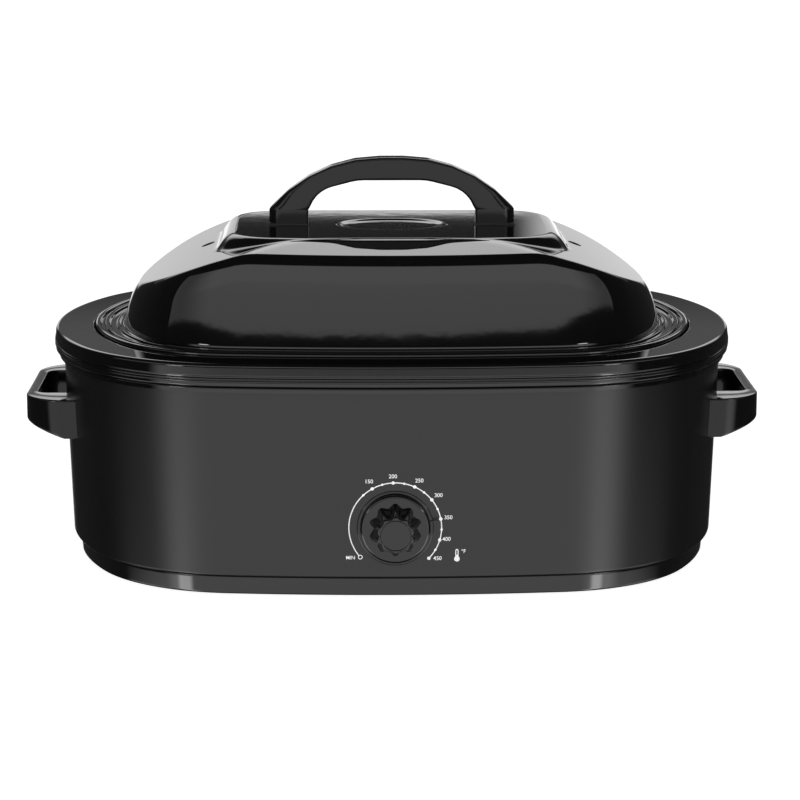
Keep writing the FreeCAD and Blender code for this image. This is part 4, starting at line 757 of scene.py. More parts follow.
def well_steel():
    return surface_finish("well_steel", "brushed_lines", (0.56, 0.56, 0.55),
                          metallic=1.0, bump=0.000006, values={
        "Lines": 500.0, "Shade": 0.16, "Roughness": 0.34, "Spread": 0.2})


# Finishes of the frame's nodes that no new piece replaces, by the record's slot: group, colour, the
# group's values, metallic and bump.
INNER_FINISHES = {
    "zinc_steel": ("fine_grain", (0.52, 0.53, 0.55), {"Grain": 160.0, "Clouds": 50.0, "Shade": 0.35,
                                                     "Roughness": 0.34, "Spread": 0.2}, 1.0, 4e-6),
    "band_mica": ("brushed_lines", (0.4, 0.4, 0.39), {"Lines": 420.0, "Roughness": 0.4}, 1.0, 8e-6),
    "rack_chrome": ("brushed_lines", (0.76, 0.76, 0.77), {"Lines": 300.0, "Shade": 0.08, "Roughness": 0.12,
                                                          "Spread": 0.08}, 1.0, 2e-6),
    "foot_rubber": ("fine_grain", (0.02, 0.02, 0.02), {"Grain": 1800.0, "Roughness": 0.75}, 0.0, 3e-5),
    "wire_sleeve": ("fine_grain", (0.62, 0.6, 0.55), {"Grain": 1500.0, "Roughness": 0.6}, 0.0, 2e-5),
    "brass": ("fine_grain", (0.71, 0.52, 0.22), {"Grain": 300.0, "Roughness": 0.28}, 1.0, 4e-6),
    "glass_wool": ("matted_fibres", (0.72, 0.62, 0.34), {"Fibres": 240.0}, 0.0, 6e-4),
    "shield_aluminium": ("brushed_lines", (0.72, 0.73, 0.74), {"Lines": 360.0, "Roughness": 0.3},
                         1.0, 8e-6),
    "case_ceramic": ("fine_grain", (0.66, 0.64, 0.58), {"Grain": 700.0, "Roughness": 0.55}, 0.0, 1e-5),
    "handle_plastic": ("fine_grain", (0.02, 0.02, 0.022), {"Grain": 2400.0, "Roughness": 0.42}, 0.0, 1e-5),
    "well_steel": ("brushed_lines", (0.56, 0.56, 0.55), {"Lines": 500.0, "Roughness": 0.34}, 1.0, 6e-6),
}


def dressed(piece, materials, body, slot, *nodes):
    """Gives a new piece its finish and its place in the frame."""
    for material in materials:
        piece.data.materials.append(material)
    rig.ride(piece, body)
    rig.slot(piece, slot)
    if nodes:
        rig.replaces(piece, *nodes)
    return piece


# ======================= Base =======================

def cut_through(piece, cutters):
    """Cuts closed cutters out of a piece, and removes them."""
    for cutter in cutters:
        modifier = piece.modifiers.new("hole", "BOOLEAN")
        modifier.operation = "DIFFERENCE"
        modifier.solver = "EXACT"
        modifier.object = cutter
    with bpy.context.temp_override(object=piece, active_object=piece):
        for name in [modifier.name for modifier in piece.modifiers]:
            bpy.ops.object.modifier_apply(modifier=name)
    for cutter in cutters:
        bpy.data.objects.remove(cutter)


DRILL_SIDES = 40
WALL_DRILL = 0.012          # how far a cutter reaches to each side of the wall


def drill(name, x, wall_y, z, radius):
    """A round cutter along Y through the wall."""
    low_y, high_y = wall_y - WALL_DRILL, wall_y + WALL_DRILL
    angle = np.linspace(0, 2 * math.pi, DRILL_SIDES, endpoint=False)
    circle = np.stack([x + radius * np.cos(angle), np.zeros(DRILL_SIDES),
                       z + radius * np.sin(angle)], axis=-1)
    grid = np.stack([circle + (0, low_y, 0), circle + (0, high_y, 0)])
    points, faces = grid_mesh(grid, poles=[(x, low_y, z), (x, high_y, z)])
    return mesh_piece(name, points, faces, None)


INLET_LOW, INLET_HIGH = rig.box("cord_inlet")
INLET_NECK = 0.0066
SHAFT_NECK = 0.0052
WALL_ROWS = np.linspace(0.034, 0.082, 9)      # rows of the wall about its two holes


def make_body(sizes, finish):
    """Painted wrap: in-turned foot and a wall that leans out, with the dial's and the inlet's holes."""
    edge = BODY_TOP - sizes.sheet * BODY_SLOPE
    path = bent([(-sizes.hem, BODY_FOOT, 0), (0, BODY_FOOT, sizes.foot_bend),
                 *[(body_out(z), z, 0) for z in WALL_ROWS], (body_out(edge), edge, 0)])
    piece = mesh_piece("painted_body", *grid_mesh(sheet_round_body(path, sizes.sheet), close_rows=True))
    inlet_x = (INLET_LOW.x + INLET_HIGH.x) / 2
    inlet_z = (INLET_LOW.z + INLET_HIGH.z) / 2
    rear = float(side_y(inlet_x, 0))
    cut_through(piece, [
        drill("inlet_hole", inlet_x, rear, inlet_z, INLET_NECK),
        drill("dial_hole", 0.0, KNOB_AXIS.y, KNOB_AXIS.z, SHAFT_NECK)])
    return dressed(piece, [body_paint(finish)], "base", "body_paint", "body_shell")


RING_HEM = 0.004


def make_ring(sizes, finish):
    """Plinth: top lip, a wall that draws in towards the floor and a small hem."""
    foot = -sizes.ring_step - sizes.ring_taper
    path = bent([(foot - RING_HEM, RING_LOW.z, 0), (foot, RING_LOW.z, sizes.foot_bend),
                 (-sizes.ring_step, RING_HIGH.z, sizes.foot_bend),
                 (-sizes.ring_step - sizes.ring_lip, RING_HIGH.z, 0)])
    piece = mesh_piece("base_plinth", *grid_mesh(sheet_round_body(path, sizes.ring_sheet), close_rows=True))
    return dressed(piece, [base_paint(finish)], "base", "base_paint", "base_ring")


WELL_MOUTH_BEND = 0.004


def make_well(sizes, finish):
    """Pressed liner: hem over the body's edge, flange, leaning wall, round bend and floor.

    The flange and hem are enamelled, the rest is bare."""
    top = WELL_HIGH.z
    floor = WELL_LOW.z + sizes.sheet
    hem_out = WELL_HIGH.x - HALF_LENGTH
    inner = -sizes.well_mouth - sizes.well_taper
    path = bent([(hem_out, top - sizes.well_hem, 0), (hem_out, top, sizes.foot_bend),
                 (-sizes.well_mouth, top, WELL_MOUTH_BEND), (inner, floor, sizes.well_bend),
                 (inner - 2 * sizes.well_bend, floor, 0)])
    grid, poles = vessel(path, sizes.sheet)
    piece = mesh_piece("well_liner", *grid_mesh(grid, poles=poles))
    dressed(piece, [well_steel(), black_enamel(finish)], "base", "well_steel", "heating_well")
    middles = np.empty(len(piece.data.polygons) * 3)
    piece.data.polygons.foreach_get("center", middles)
    rim = middles[2::3] > top - sizes.well_hem - sizes.sheet
    piece.data.polygons.foreach_set("material_index", rim.astype(np.int32))
    return piece


# ======================= Pan =======================

SEAT_GAP = 0.0003           # between the well's flange and the pan's rim
PAN_RIM = WELL_HIGH.z + SEAT_GAP
RIM_CURL = 0.0087           # width of the curl's flat underside
CURL_BEND = 0.0015
CURL_INSET = 0.001          # the curl's arc stands this far inside the beads
BEAD_INSET = 0.0002         # the beads stand this far inside the skirt
BEAD_SWEEP = 1.25           # each bead's arc turns this far up and down from its middle, radians
BEAD_RISES = (0.0041, 0.0061)
BEAD_POINTS = 9
CURL_POINTS = 6
SKIRT_FOOT = 0.0082         # lower edge of the skirt above the rim's underside
SKIRT_LEAD = 0.001          # upright run below the skirt
SKIRT_STEP = 0.0001
SKIRT_BENDS = (0.0003, 0.0006)
RECESS_SLOPE = 0.0016
RECESS_BEND = 0.0015
LEDGE_BEND = 0.003


def rim_beads(out, base, sizes):
    """Path up the outside of the two beads: an arc for each, with a groove after it."""
    stretches = []
    for rise in BEAD_RISES:
        stretches.append(circle_points((out, base + rise), sizes.bead, -BEAD_SWEEP, BEAD_SWEEP,
                                       BEAD_POINTS))
    return stretches


def make_pan(sizes, finish):
    """Enamelled pan: curled rim with two beads, skirt, flange, seat for the lid, wall and floor."""
    base, top = PAN_RIM, PAN_HIGH.z
    skirt_foot = base + SKIRT_FOOT
    rim_out = PAN_HIGH.x - HALF_LENGTH
    bead_out = rim_out - sizes.bead - BEAD_INSET
    curl = [np.array([[bead_out - RIM_CURL, base]]),
            circle_points((bead_out - CURL_INSET, base + CURL_BEND), CURL_BEND, -QUARTER, 0.0,
                          CURL_POINTS)]
    recess_edge = rim_out - sizes.flange
    recess_foot = recess_edge - RECESS_SLOPE
    ledge = top - sizes.recess
    wall = recess_foot - sizes.ledge
    wall_foot = wall - sizes.taper
    floor = PAN_LOW.z + sizes.sheet
    upper = bent([(bead_out, skirt_foot - SKIRT_LEAD, 0),
                  (bead_out + SKIRT_STEP, skirt_foot, SKIRT_BENDS[0]),
                  (rim_out, skirt_foot, SKIRT_BENDS[1]),
                  (rim_out - sizes.skirt_flare, top, sizes.edge_bend),
                  (recess_edge, top, RECESS_BEND), (recess_foot, ledge, RECESS_BEND),
                  (wall, ledge, LEDGE_BEND), (wall_foot, floor, sizes.bend),
                  (wall_foot - 2 * sizes.bend, floor, 0)])
    path = held_flat(curl + rim_beads(bead_out, base, sizes) + [upper])
    grid, poles = vessel(path, sizes.sheet)
    piece = mesh_piece("enamel_pan", *grid_mesh(grid, poles=poles))
    return dressed(piece, [speckled_enamel(finish)], "pan", "pan_enamel", "cooking_pan")


# ======================= Lid =======================

DOME_FOOT_RISE = 0.0067     # foot of the dome above the brim's lowest line
LID_FOOT = LID_LOW.z + DOME_FOOT_RISE
WALL_LEAN = math.radians(15.5)
FRONT_FALL = 0.19           # slope of the roof in front of and behind the flat top
BARREL_START = 0.059        # half length from which the roof curves down to the ends
BARREL_TOP = 0.0003         # its highest line below the flat top
BARREL_CURVE = 2.08         # fall = curve x distance squared, 1 / metre
TOP_EDGE = 0.085            # half depth from which the roof falls to front and rear
PAD_CORE = (0.090, 0.046)   # the raised pad without its rounding, half length and half depth
PAD_CORNER = 0.036
PAD_CURVE = 66.0            # fall past the pad's edge = curve x distance squared, 1 / metre
PAD_BLEND = 0.004
PAD_BLEND_REACH = 0.05
PAD_LEAST_BLEND = 0.05      # share of the blend that is kept at the middle
HIP_BLEND = 0.0018
DIMPLE_LIP = 0.14           # share of the dimple's reach taken by its lip
WALL_INSETS = np.concatenate([np.linspace(0, 0.0215, 54), np.linspace(0.0225, 0.04, 15)])
ROOF_SHARES = np.linspace(0.99, 0.02, 110)


def lower_of(a, b, width):
    """The lower of two heights with a soft corner: min - (1 - |a - b| / width)^2 width / 4."""
    near = np.clip(1 - np.abs(a - b) / width, 0, 1)
    return np.minimum(a, b) - near * near * width / 4


def roof_height(x, y):
    """Height of the lid's roof: a barrel along X, falling to front and rear, with a raised flat pad.

    The barrel falls as the square of the distance past its start. The pad is a rounded rectangle:
    top - curve x max(|(|x| - a, |y| - b)| - r, 0)^2. Its soft foot widens towards the ends."""
    top = LID_HIGH.z
    barrel = top - BARREL_TOP - BARREL_CURVE * np.clip(np.abs(x) - BARREL_START, 0, None) ** 2
    slope = top - FRONT_FALL * np.clip(np.abs(y) - TOP_EDGE, 0, None)
    past = np.hypot(np.clip(np.abs(x) - PAD_CORE[0], 0, None), np.clip(np.abs(y) - PAD_CORE[1], 0, None))
    pad = top - PAD_CURVE * np.clip(past - PAD_CORNER, 0, None) ** 2
    blend = PAD_BLEND * np.clip((np.abs(x) - BARREL_START) / PAD_BLEND_REACH, PAD_LEAST_BLEND, 1)
    return -lower_of(-lower_of(barrel, slope, HIP_BLEND), -pad, blend)


def dome_sheet(sizes, under):
    """Grid of the dome from its foot to near its middle: the lower of its leaning wall and its roof.

    Rows are the foot's oval drawn in by t, where the wall's height is foot + t / tan(lean), then that
    oval drawn in towards the middle. under moves the wall in, and everything down, by that much."""
    foot = (HALF_LENGTH - sizes.wall, HALF_DEPTH - sizes.wall, SIDE_RADIUS - sizes.wall,
            END_RADIUS - sizes.wall, CORNER_RADIUS - sizes.wall)
    grid = rings(foot, -WALL_INSETS, 0.0)
    grid = np.concatenate([grid, drawn_in(grid[-1], ROOF_SHARES)])
    wall = LID_FOOT + np.append(WALL_INSETS, np.full(len(ROOF_SHARES), 1.0)) / math.tan(WALL_LEAN)
    roof = roof_height(grid[..., 0], grid[..., 1])
    height = lower_of(wall[:, None], roof, sizes.shoulder) - dimple_drop(grid, sizes)
    height[0] = LID_FOOT
    grid[..., 2] = height
    if under:
        inner = rings(foot, -WALL_INSETS - under, 0.0)
        grid[:len(WALL_INSETS), :, :2] = inner[..., :2]
        grid[..., 2] -= under
    return grid


def dimple_drop(points, sizes):
    """Depth of the dimple: a smooth step from nought where (x/a)^2 + (y/b)^2 = 1 to its whole depth."""
    reach = np.hypot(points[..., 0] / sizes.dimple_length, points[..., 1] / sizes.dimple_depth)
    inside = np.clip((1 - reach) / DIMPLE_LIP, 0, 1)
    return eased(sizes.dimple, inside)


BEAD_WIDTH = 0.0042
BEAD_FALL = 0.0007          # width of the bead's inner slope
BEAD_BENDS = (0.0013, 0.0018, 0.0014)
BRIM_WEB = 0.0032           # the web above the brim's lowest line
WEB_BENDS = (0.0009, 0.0016)
BRIM_RIBS = ((-0.0300, 0.0016, 0.0023), (-0.0389, 0.0009, 0.0018))    # middle, half width, rise
RIB_FALL = 0.0009           # width of a rib's slopes
RIB_BEND = 0.0007


def brim_path(sizes):
    """The brim from its outer bead's foot, over two low ribs, to the foot of the dome."""
    out = LID_HIGH.x - HALF_LENGTH
    base = LID_LOW.z
    web = base + BRIM_WEB
    bead_in = out - BEAD_WIDTH
    ribs = []
    for middle, half, rise in BRIM_RIBS:
        ribs += [(middle + half + RIB_FALL, web, RIB_BEND), (middle + half, web + rise, RIB_BEND),
                 (middle - half, web + rise, RIB_BEND), (middle - half - RIB_FALL, web, RIB_BEND)]
    return bent([(bead_in + sizes.sheet, base, 0), (out, base, BEAD_BENDS[0]),
                 (out, base + sizes.bead, BEAD_BENDS[1]), (bead_in, base + sizes.bead, BEAD_BENDS[2]),
                 (bead_in - BEAD_FALL, web, WEB_BENDS[0]), *ribs,
                 (-sizes.wall, web, WEB_BENDS[1]), (-sizes.wall, LID_FOOT, 0)])


def make_lid(sizes, finish):
    """Domed lid: raised flat top with a dimple, roof, tight shoulder, leaning wall and ribbed brim."""
    outer = dome_sheet(sizes, 0.0)[::-1]
    inner = dome_sheet(sizes, sizes.sheet)[::-2]
    brim = brim_path(sizes)
    under = moved_left(brim, sizes.sheet)
    grid = np.concatenate([outer[:-1], rings(OUTLINE, brim[::-1, 0], brim[::-1, 1]),
                           rings(OUTLINE, under[:, 0], under[:, 1]), inner[-2::-1]])
    top = LID_HIGH.z - sizes.dimple
    points, faces = grid_mesh(grid, poles=[(0, 0, top), (0, 0, top - sizes.sheet)])
    piece = mesh_piece("enamel_lid", points, faces)
    return dressed(piece, [black_enamel(finish)], "lid", "lid_enamel", "lid_shell")


VENT_SPOTS = (-0.150, 0.150)
VENT_LENGTH = 0.0112
VENT_WIDTH = 0.0024
VENT_Y = 0.006
VENT_RISE = 0.0009
VENT_STEPS = 13
VENT_SIDES = 16


def make_vents(finish):
    """Two pressed louvres on the roof: half-sunk bars whose section swells as sqrt(1 - run^2)."""
    parts = []
    run = np.linspace(-1, 1, VENT_STEPS)
    turn = np.linspace(0, 2 * math.pi, VENT_SIDES, endpoint=False)
    swell = np.sqrt(np.clip(1 - run ** 2, 0, 1))[1:-1]
    across = VENT_WIDTH / 2 * swell[:, None] * np.cos(turn)
    rise = VENT_RISE * swell[:, None] * np.sin(turn)
    for x in VENT_SPOTS:
        centre_x = x + run * VENT_LENGTH / 2
        centre_z = roof_height(centre_x, VENT_Y)
        spine = np.stack([centre_x, np.full(len(run), VENT_Y), centre_z], axis=-1)
        within = spine[1:-1, None]
        grid = np.stack([np.broadcast_to(within[..., 0], across.shape), within[..., 1] + across,
                         within[..., 2] + rise], axis=-1)
        parts.append(grid_mesh(grid, poles=[spine[0], spine[-1]]))
    piece = mesh_piece("steam_louvres", *joined_meshes(parts))
    return dressed(piece, [ferrule_plastic(finish)], "lid", "lid_enamel")


# ======================= Handles =======================

BRIDGE_SHOULDER = 0.117
BRIDGE_SHOULDER_IN = 0.0362
BRIDGE_KNEE_DROP = 0.0418
BRIDGE_KNEE = 0.006
BRIDGE_FLAT = 0.028
BRIDGE_FLAT_BEND = 0.04
BRIDGE_ARCH_DROP = 0.0102
BRIDGE_ARCH_BEND = 0.026
BRIDGE_STEPS = 64           # from the middle down to the knee
FOOT_STEPS = 26             # from the knee down to the foot
KNEE_START = 0.012          # depth below the top from which the edges' rounding grows
KNEE_RUN = 0.03             # depth over which it grows
LEVEL = 1e-6                # heights closer than this count as the same


def resampled(path, spots):
    """Points of a path at shares of its length."""
    reach = np.append(0, np.cumsum(np.linalg.norm(np.diff(path, axis=0), axis=1)))
    reach /= reach[-1]
    return np.stack([np.interp(spots, reach, path[:, k]) for k in range(path.shape[1])], axis=-1)


def bridge_sides(sizes):
    """Outer and inner outlines of half the bridge, from its middle down to the foot, in (x, z)."""
    base, top, outer = BRIDGE_LOW.z, BRIDGE_HIGH.z, BRIDGE_HIGH.x
    inner = outer - sizes.foot
    ceiling = top - sizes.bridge_depth
    over = [(0, top, 0), (outer - BRIDGE_SHOULDER_IN, top, BRIDGE_SHOULDER),
            (outer, top - BRIDGE_KNEE_DROP, BRIDGE_KNEE), (outer, base, 0)]
    under = [(0, ceiling, 0), (BRIDGE_FLAT, ceiling, BRIDGE_FLAT_BEND),
             (inner, ceiling - BRIDGE_ARCH_DROP, BRIDGE_ARCH_BEND), (inner, base, 0)]
    knee = top - BRIDGE_KNEE_DROP
    halves = []
    for corners in (over, under):
        path = bent(corners)
        is_above = path[:, 1] > knee + LEVEL
        above = np.vstack([path[is_above], [[path[~is_above][0, 0], knee]]])
        upper = resampled(above, np.linspace(0, 1, BRIDGE_STEPS))
        lower = np.stack([np.full(FOOT_STEPS, path[-1, 0]),
                          np.linspace(knee, base, FOOT_STEPS + 1)[1:]], axis=-1)
        halves.append(np.vstack([upper, lower]))
    return halves


def mirrored_curve(half):
    """The half curve and its mirror image as one, from the left end to the right."""
    return np.vstack([half[:0:-1] * (-1, 1), half])


def make_bridge(sizes, finish):
    """Bridge handle of the lid: rounded bar between its upper and under outlines.

    The rounding of its upper edges grows by a smooth step from the arch down to the feet."""
    over, under = (mirrored_curve(half) for half in bridge_sides(sizes))
    half_width = (BRIDGE_HIGH.y - BRIDGE_LOW.y) / 2
    steep = np.clip((BRIDGE_HIGH.z - over[:, 1] - KNEE_START) / KNEE_RUN, 0, 1)
    rounding = sizes.edge + eased(sizes.knee - sizes.edge, steep)
    corners = [np.stack([line[:, 0], np.full(len(line), side * half_width), line[:, 1]], axis=-1)
               for line, side in ((over, -1), (over, 1), (under, 1), (under, -1))]
    grid = rounded_bar(corners, (rounding, rounding, sizes.edge, sizes.edge), 7)
    piece = bar_piece("lid_bridge", grid)
    return dressed(piece, [handle_plastic(finish)], "lid", "handle_plastic", "lid_handle")


GRIP_WINDOW_BEND = 0.009
GRIP_BAR_HEIGHT = 0.0205
GRIP_STRAIGHT = 10          # steps along each straight run
GRIP_TURN = 17              # points round each corner
GRIP_ROOT = 0.002           # how far the bar's curves start inside the wall
GRIP_SEAT = 0.0002          # how far its ends are sunk in the wall


def grip_curves(sizes):
    """Outer and window outlines of a side handle in plan, with as many points, by the same turns."""
    half_width = GRIP_HIGH.y
    outer = GRIP_HIGH.x
    curves = []
    window = (half_width - sizes.grip_arm, outer - sizes.grip_bar, GRIP_WINDOW_BEND)
    for edge_y, edge_x, bend in ((half_width, outer, sizes.grip_corner), window):
        root_x = float(end_x(edge_y, 0)) - GRIP_ROOT
        arm = np.stack([np.linspace(root_x, edge_x - bend, GRIP_STRAIGHT, endpoint=False),
                        np.full(GRIP_STRAIGHT, -edge_y)], axis=-1)
        arc = circle_points((edge_x - bend, bend - edge_y), bend, -QUARTER, 0, GRIP_TURN)
        bar = np.stack([np.full(GRIP_STRAIGHT, edge_x),
                        np.linspace(bend - edge_y, 0, GRIP_STRAIGHT + 1)[1:]], axis=-1)
        half = np.vstack([arm, arc, bar])
        curves.append(np.vstack([half, half[-2::-1] * (1, -1)]))
    return curves


def make_grip(side, sizes, finish):
    """Side handle: a bar between its outer and window outlines, its under side rising outwards."""
    outer, window = grip_curves(sizes)
    slope = (GRIP_HIGH.z - GRIP_BAR_HEIGHT - GRIP_LOW.z) / (GRIP_HIGH.x - HALF_LENGTH)
    corners = []
    for curve, top in ((outer, False), (outer, True), (window, True), (window, False)):
        height = np.full(len(curve), GRIP_HIGH.z)
        if not top:
            height = GRIP_LOW.z + slope * np.clip(curve[:, 0] - HALF_LENGTH, 0, None)
        corners.append(np.column_stack([curve, height]))
    grid = rounded_bar(corners, [sizes.grip_edge] * 4, 5)
    for row in (0, -1):
        grid[row, :, 0] = end_x(grid[row, :, 1], body_out(grid[row, :, 2])) - GRIP_SEAT
    grid[..., 0] *= side
    hand = "right" if side > 0 else "left"
    piece = bar_piece("side_grip_" + hand, grid)
    return dressed(piece, [handle_plastic(finish)], "base", "handle_plastic", "side_handle_" + hand)


# ======================= Dial =======================

KNOB_BACK = KNOB_AXIS.y - KNOB_HIGH.y
KNOB_FACE = 0.0064
KNOB_TIP = KNOB_AXIS.y - KNOB_LOW.y
DISC_WALL = 0.0016
DISC_BENDS = (0.0003, 0.003)    # rear and front edge of the disc
SLEEVE = 0.0065             # radius of the sleeve behind the disc
SOCKET = 0.00305
GRIP_FOOT_PLAY = 0.0003
GRIP_BENDS = (0.0006, 0.0011, 0.0004)    # foot, outer and inner edge of the grip's end
CAP_GAP = 0.0001
LOBES = 10
KNOB_SIDES = 240
SCALLOP_FADE = 0.55         # share of the scallops' depth that is lost by the tip
SCALLOP_EDGES = (0.0006, 0.002)    # scallops keep this far from the cap and from the disc's rim
GRIP_ROWS = np.linspace(0.04, 0.96, 12)    # rows up the grip, as shares of its height
FACE_GAP = 0.001            # the grip's side is looked for from this far ahead of the face
ROW_GAP = 2e-4              # rows start this far past the bend at the grip's foot
TIP_GAP = 0.0014            # and end this far short of its tip
SAME_PLACE = 1e-5


def make_knob(sizes, finish):
    """Knob: disc with a rounded rim, scalloped tapering grip, recess for the cap."""
    tip, face = KNOB_TIP, KNOB_FACE
    cap = CAP_RADIUS + CAP_GAP
    disc_in = sizes.disc - DISC_WALL
    face_in = face - DISC_WALL
    profile = bent([(SOCKET, KNOB_BACK, 0), (SLEEVE, KNOB_BACK, 0), (SLEEVE, face_in, 0),
                    (disc_in, face_in, 0), (disc_in, KNOB_BACK, 0),
                    (sizes.disc, KNOB_BACK, DISC_BENDS[0]), (sizes.disc, face, DISC_BENDS[1]),
                    (sizes.grip_base + GRIP_FOOT_PLAY, face, GRIP_BENDS[0]),
                    (sizes.grip_cap, tip, GRIP_BENDS[1]), (cap, tip, GRIP_BENDS[2]),
                    (cap, CAP_BACK, 0), (SOCKET, CAP_BACK, 0)])
    side = np.stack([np.interp(GRIP_ROWS, [0, 1], [sizes.grip_base, sizes.grip_cap]),
                     np.interp(GRIP_ROWS, [0, 1], [face, tip])], axis=-1)
    at = int(np.argmax((profile[:, 1] > face + FACE_GAP) & (profile[:, 0] > sizes.grip_cap)))
    between = (side[:, 1] > profile[at - 1, 1] + ROW_GAP) & (side[:, 1] < tip - TIP_GAP)
    profile = np.vstack([profile[:at], side[between], profile[at:]])

    def scallops(rows, angle):
        """Cut of the radius: half of one plus a cosine between lobes, shallower towards the tip."""
        radius, ahead = rows[:, 0], rows[:, 1]
        share_up = np.clip((ahead - face) / (tip - face), 0, 1)
        inside_rim = radius < sizes.disc - SCALLOP_EDGES[1]
        on_grip = (radius > cap + SCALLOP_EDGES[0]) & (ahead > face - SAME_PLACE) & inside_rim
        depth = sizes.scallop * (1 - SCALLOP_FADE * share_up) * on_grip
        wave = 0.5 + 0.5 * np.cos(angle * LOBES)
        return depth[:, None] * wave[None, :]

    grid = turned(profile, scallops, KNOB_SIDES)
    piece = mesh_piece("dial_knob", *grid_mesh(grid, close_rows=True))
    return dressed(piece, [knob_plastic(finish)], "knob", "knob_plastic", "control_knob")


CAP_MIDDLE = 0.001          # radius of the rows next to the cap's two middle points
CAP_BEND = 0.0005


def make_cap(finish):
    """Cap in the end of the grip, with a softened edge."""
    front = KNOB_AXIS.y - CAP_LOW.y
    profile = bent([(CAP_MIDDLE, CAP_BACK, 0), (CAP_RADIUS, CAP_BACK, 0),
                    (CAP_RADIUS, front, CAP_BEND), (CAP_MIDDLE, front, 0)])
    grid = turned(profile)
    centre = [(KNOB_AXIS.x, KNOB_AXIS.y - reach, KNOB_AXIS.z) for reach in (CAP_BACK, front)]
    piece = mesh_piece("grip_cap", *grid_mesh(grid, poles=centre))
    return dressed(piece, [knob_plastic(finish)], "knob", "cap_plastic", "knob_cap")


BEZEL_BORE = 0.0256
BEZEL_BACK = -0.0016        # a distance behind the wall that marks the rows laid on it
BEZEL_BENDS = (0.0011, 0.0004)
BEZEL_SIDES = 128
BEZEL_SEAT = 0.00001


def make_bezel(finish):
    """Rounded ring round the knob, its back following the body."""
    outer = (BEZEL_HIGH.x - BEZEL_LOW.x) / 2
    proud = KNOB_AXIS.y - BEZEL_LOW.y
    profile = bent([(BEZEL_BORE, BEZEL_BACK, 0), (outer, BEZEL_BACK, 0), (outer, proud, BEZEL_BENDS[0]),
                    (BEZEL_BORE, proud, BEZEL_BENDS[1]), (BEZEL_BORE, BEZEL_BACK, 0)])[:-1]
    grid = turned(profile, steps=BEZEL_SIDES)
    back = profile[:, 1] < 0
    grid[back, :, 1] = -side_y(grid[back, :, 0], body_out(grid[back, :, 2])) - BEZEL_SEAT
    piece = mesh_piece("dial_ring", *grid_mesh(grid, close_rows=True))
    return dressed(piece, [bezel_plastic(finish)], "base", "knob_plastic", "dial_bezel")


POINTER_ANGLE = math.radians(11.0)
POINTER_START = 0.0262
POINTER_END = 0.0338
POINTER_LOW = 0.0022
POINTER_HIGH = 0.0034
POINTER_TAPER = 0.45        # its width at the end, as a share of that at the disc
POINTER_STEPS = 6
POINTER_EDGE = 0.00012


def make_pointer(sizes, finish):
    """Pointer of the knob: a tapering bar from the disc's edge out over the bezel."""
    reach = np.linspace(POINTER_START, POINTER_END, POINTER_STEPS)
    half = np.linspace(sizes.pointer, sizes.pointer * POINTER_TAPER, POINTER_STEPS) / 2
    along = np.array([math.cos(POINTER_ANGLE), 0, math.sin(POINTER_ANGLE)])
    across = np.array([-math.sin(POINTER_ANGLE), 0, math.cos(POINTER_ANGLE)])
    middle = np.array(KNOB_AXIS) + reach[:, None] * along
    places = ((-1, POINTER_LOW), (-1, POINTER_HIGH), (1, POINTER_HIGH), (1, POINTER_LOW))
    corners = [middle + side * half[:, None] * across + np.array([0, -depth, 0]) for side, depth in places]
    piece = bar_piece("knob_pointer", rounded_bar(corners, [POINTER_EDGE] * 4, 3))
    return dressed(piece, [bezel_plastic(finish)], "knob", "knob_plastic")


INK_THICK = 0.00006
INK_STAND = 0.6             # share of that thickness by which the ink's middle stands off the wall
LETTER_WEIGHT = 0.00004     # how much each letter's outline is thickened
SCALE_MIN = 221.0
SCALE_MAX = -43.4
SCALE_STEP = 27.2           # degrees of the dial for each printed figure
SCALE_FIGURES = 7
SCALE_GAP = 2.5             # degrees left between the arc and the open ring
ARC_STEPS = 150
# Printed words: text, share of the figures' size, and place from the knob's axis.
WORDS = (
    ("450", 1.0, (0.0324, -0.0245)),
    ("400", 1.0, (0.0392, -0.0093)),
    ("350", 1.0, (0.0405, 0.0078)),
    ("300", 1.0, (0.0329, 0.0254)),
    ("250", 1.0, (0.0183, 0.0370)),
    ("200", 1.0, (-0.0018, 0.0404)),
    ("150", 1.0, (-0.0201, 0.0364)),
    ("MIN", 0.92, (-0.0342, -0.0238)),
    ("°F", 0.95, (0.0522, -0.0192)),
)
DOT = 0.0013
SMALL_DOT = 0.0009
MIN_RING = (0.0012, 0.0018)
THERMOMETER = (0.0472, -0.0250)
BULB = 0.0021
BULB_ENDS = (math.radians(125), math.radians(415))
STEM = 0.0012
STEM_HIGH = 0.0066
BORE = 0.00055
BORE_LOW = 0.0036
BORE_HIGH = 0.0064


def flat_outline(curve, points):
    """Adds one closed straight-run spline to a flat curve."""
    spline = curve.splines.new("POLY")
    spline.points.add(len(points) - 1)
    flat = np.column_stack([points, np.zeros(len(points)), np.ones(len(points))])
    spline.points.foreach_set("co", flat.ravel())
    spline.use_cyclic_u = True


def flat_mesh(source):
    """Points and faces of a flat curve or text with its thickness, taken as a mesh."""
    piece = linked("flat_shape", source)
    bpy.context.view_layer.update()
    mesh = bpy.data.meshes.new_from_object(piece.evaluated_get(bpy.context.evaluated_depsgraph_get()))
    points = np.empty(len(mesh.vertices) * 3)
    mesh.vertices.foreach_get("co", points)
    faces = [list(polygon.vertices) for polygon in mesh.polygons]
    bpy.data.objects.remove(piece)
    bpy.data.meshes.remove(mesh)
    return points.reshape(-1, 3), faces


def circle_outline(centre, radius, count=28):
    """Points of a whole circle, the last one not repeated."""
    return circle_points(centre, radius, 0, 2 * math.pi, count + 1)[:-1]


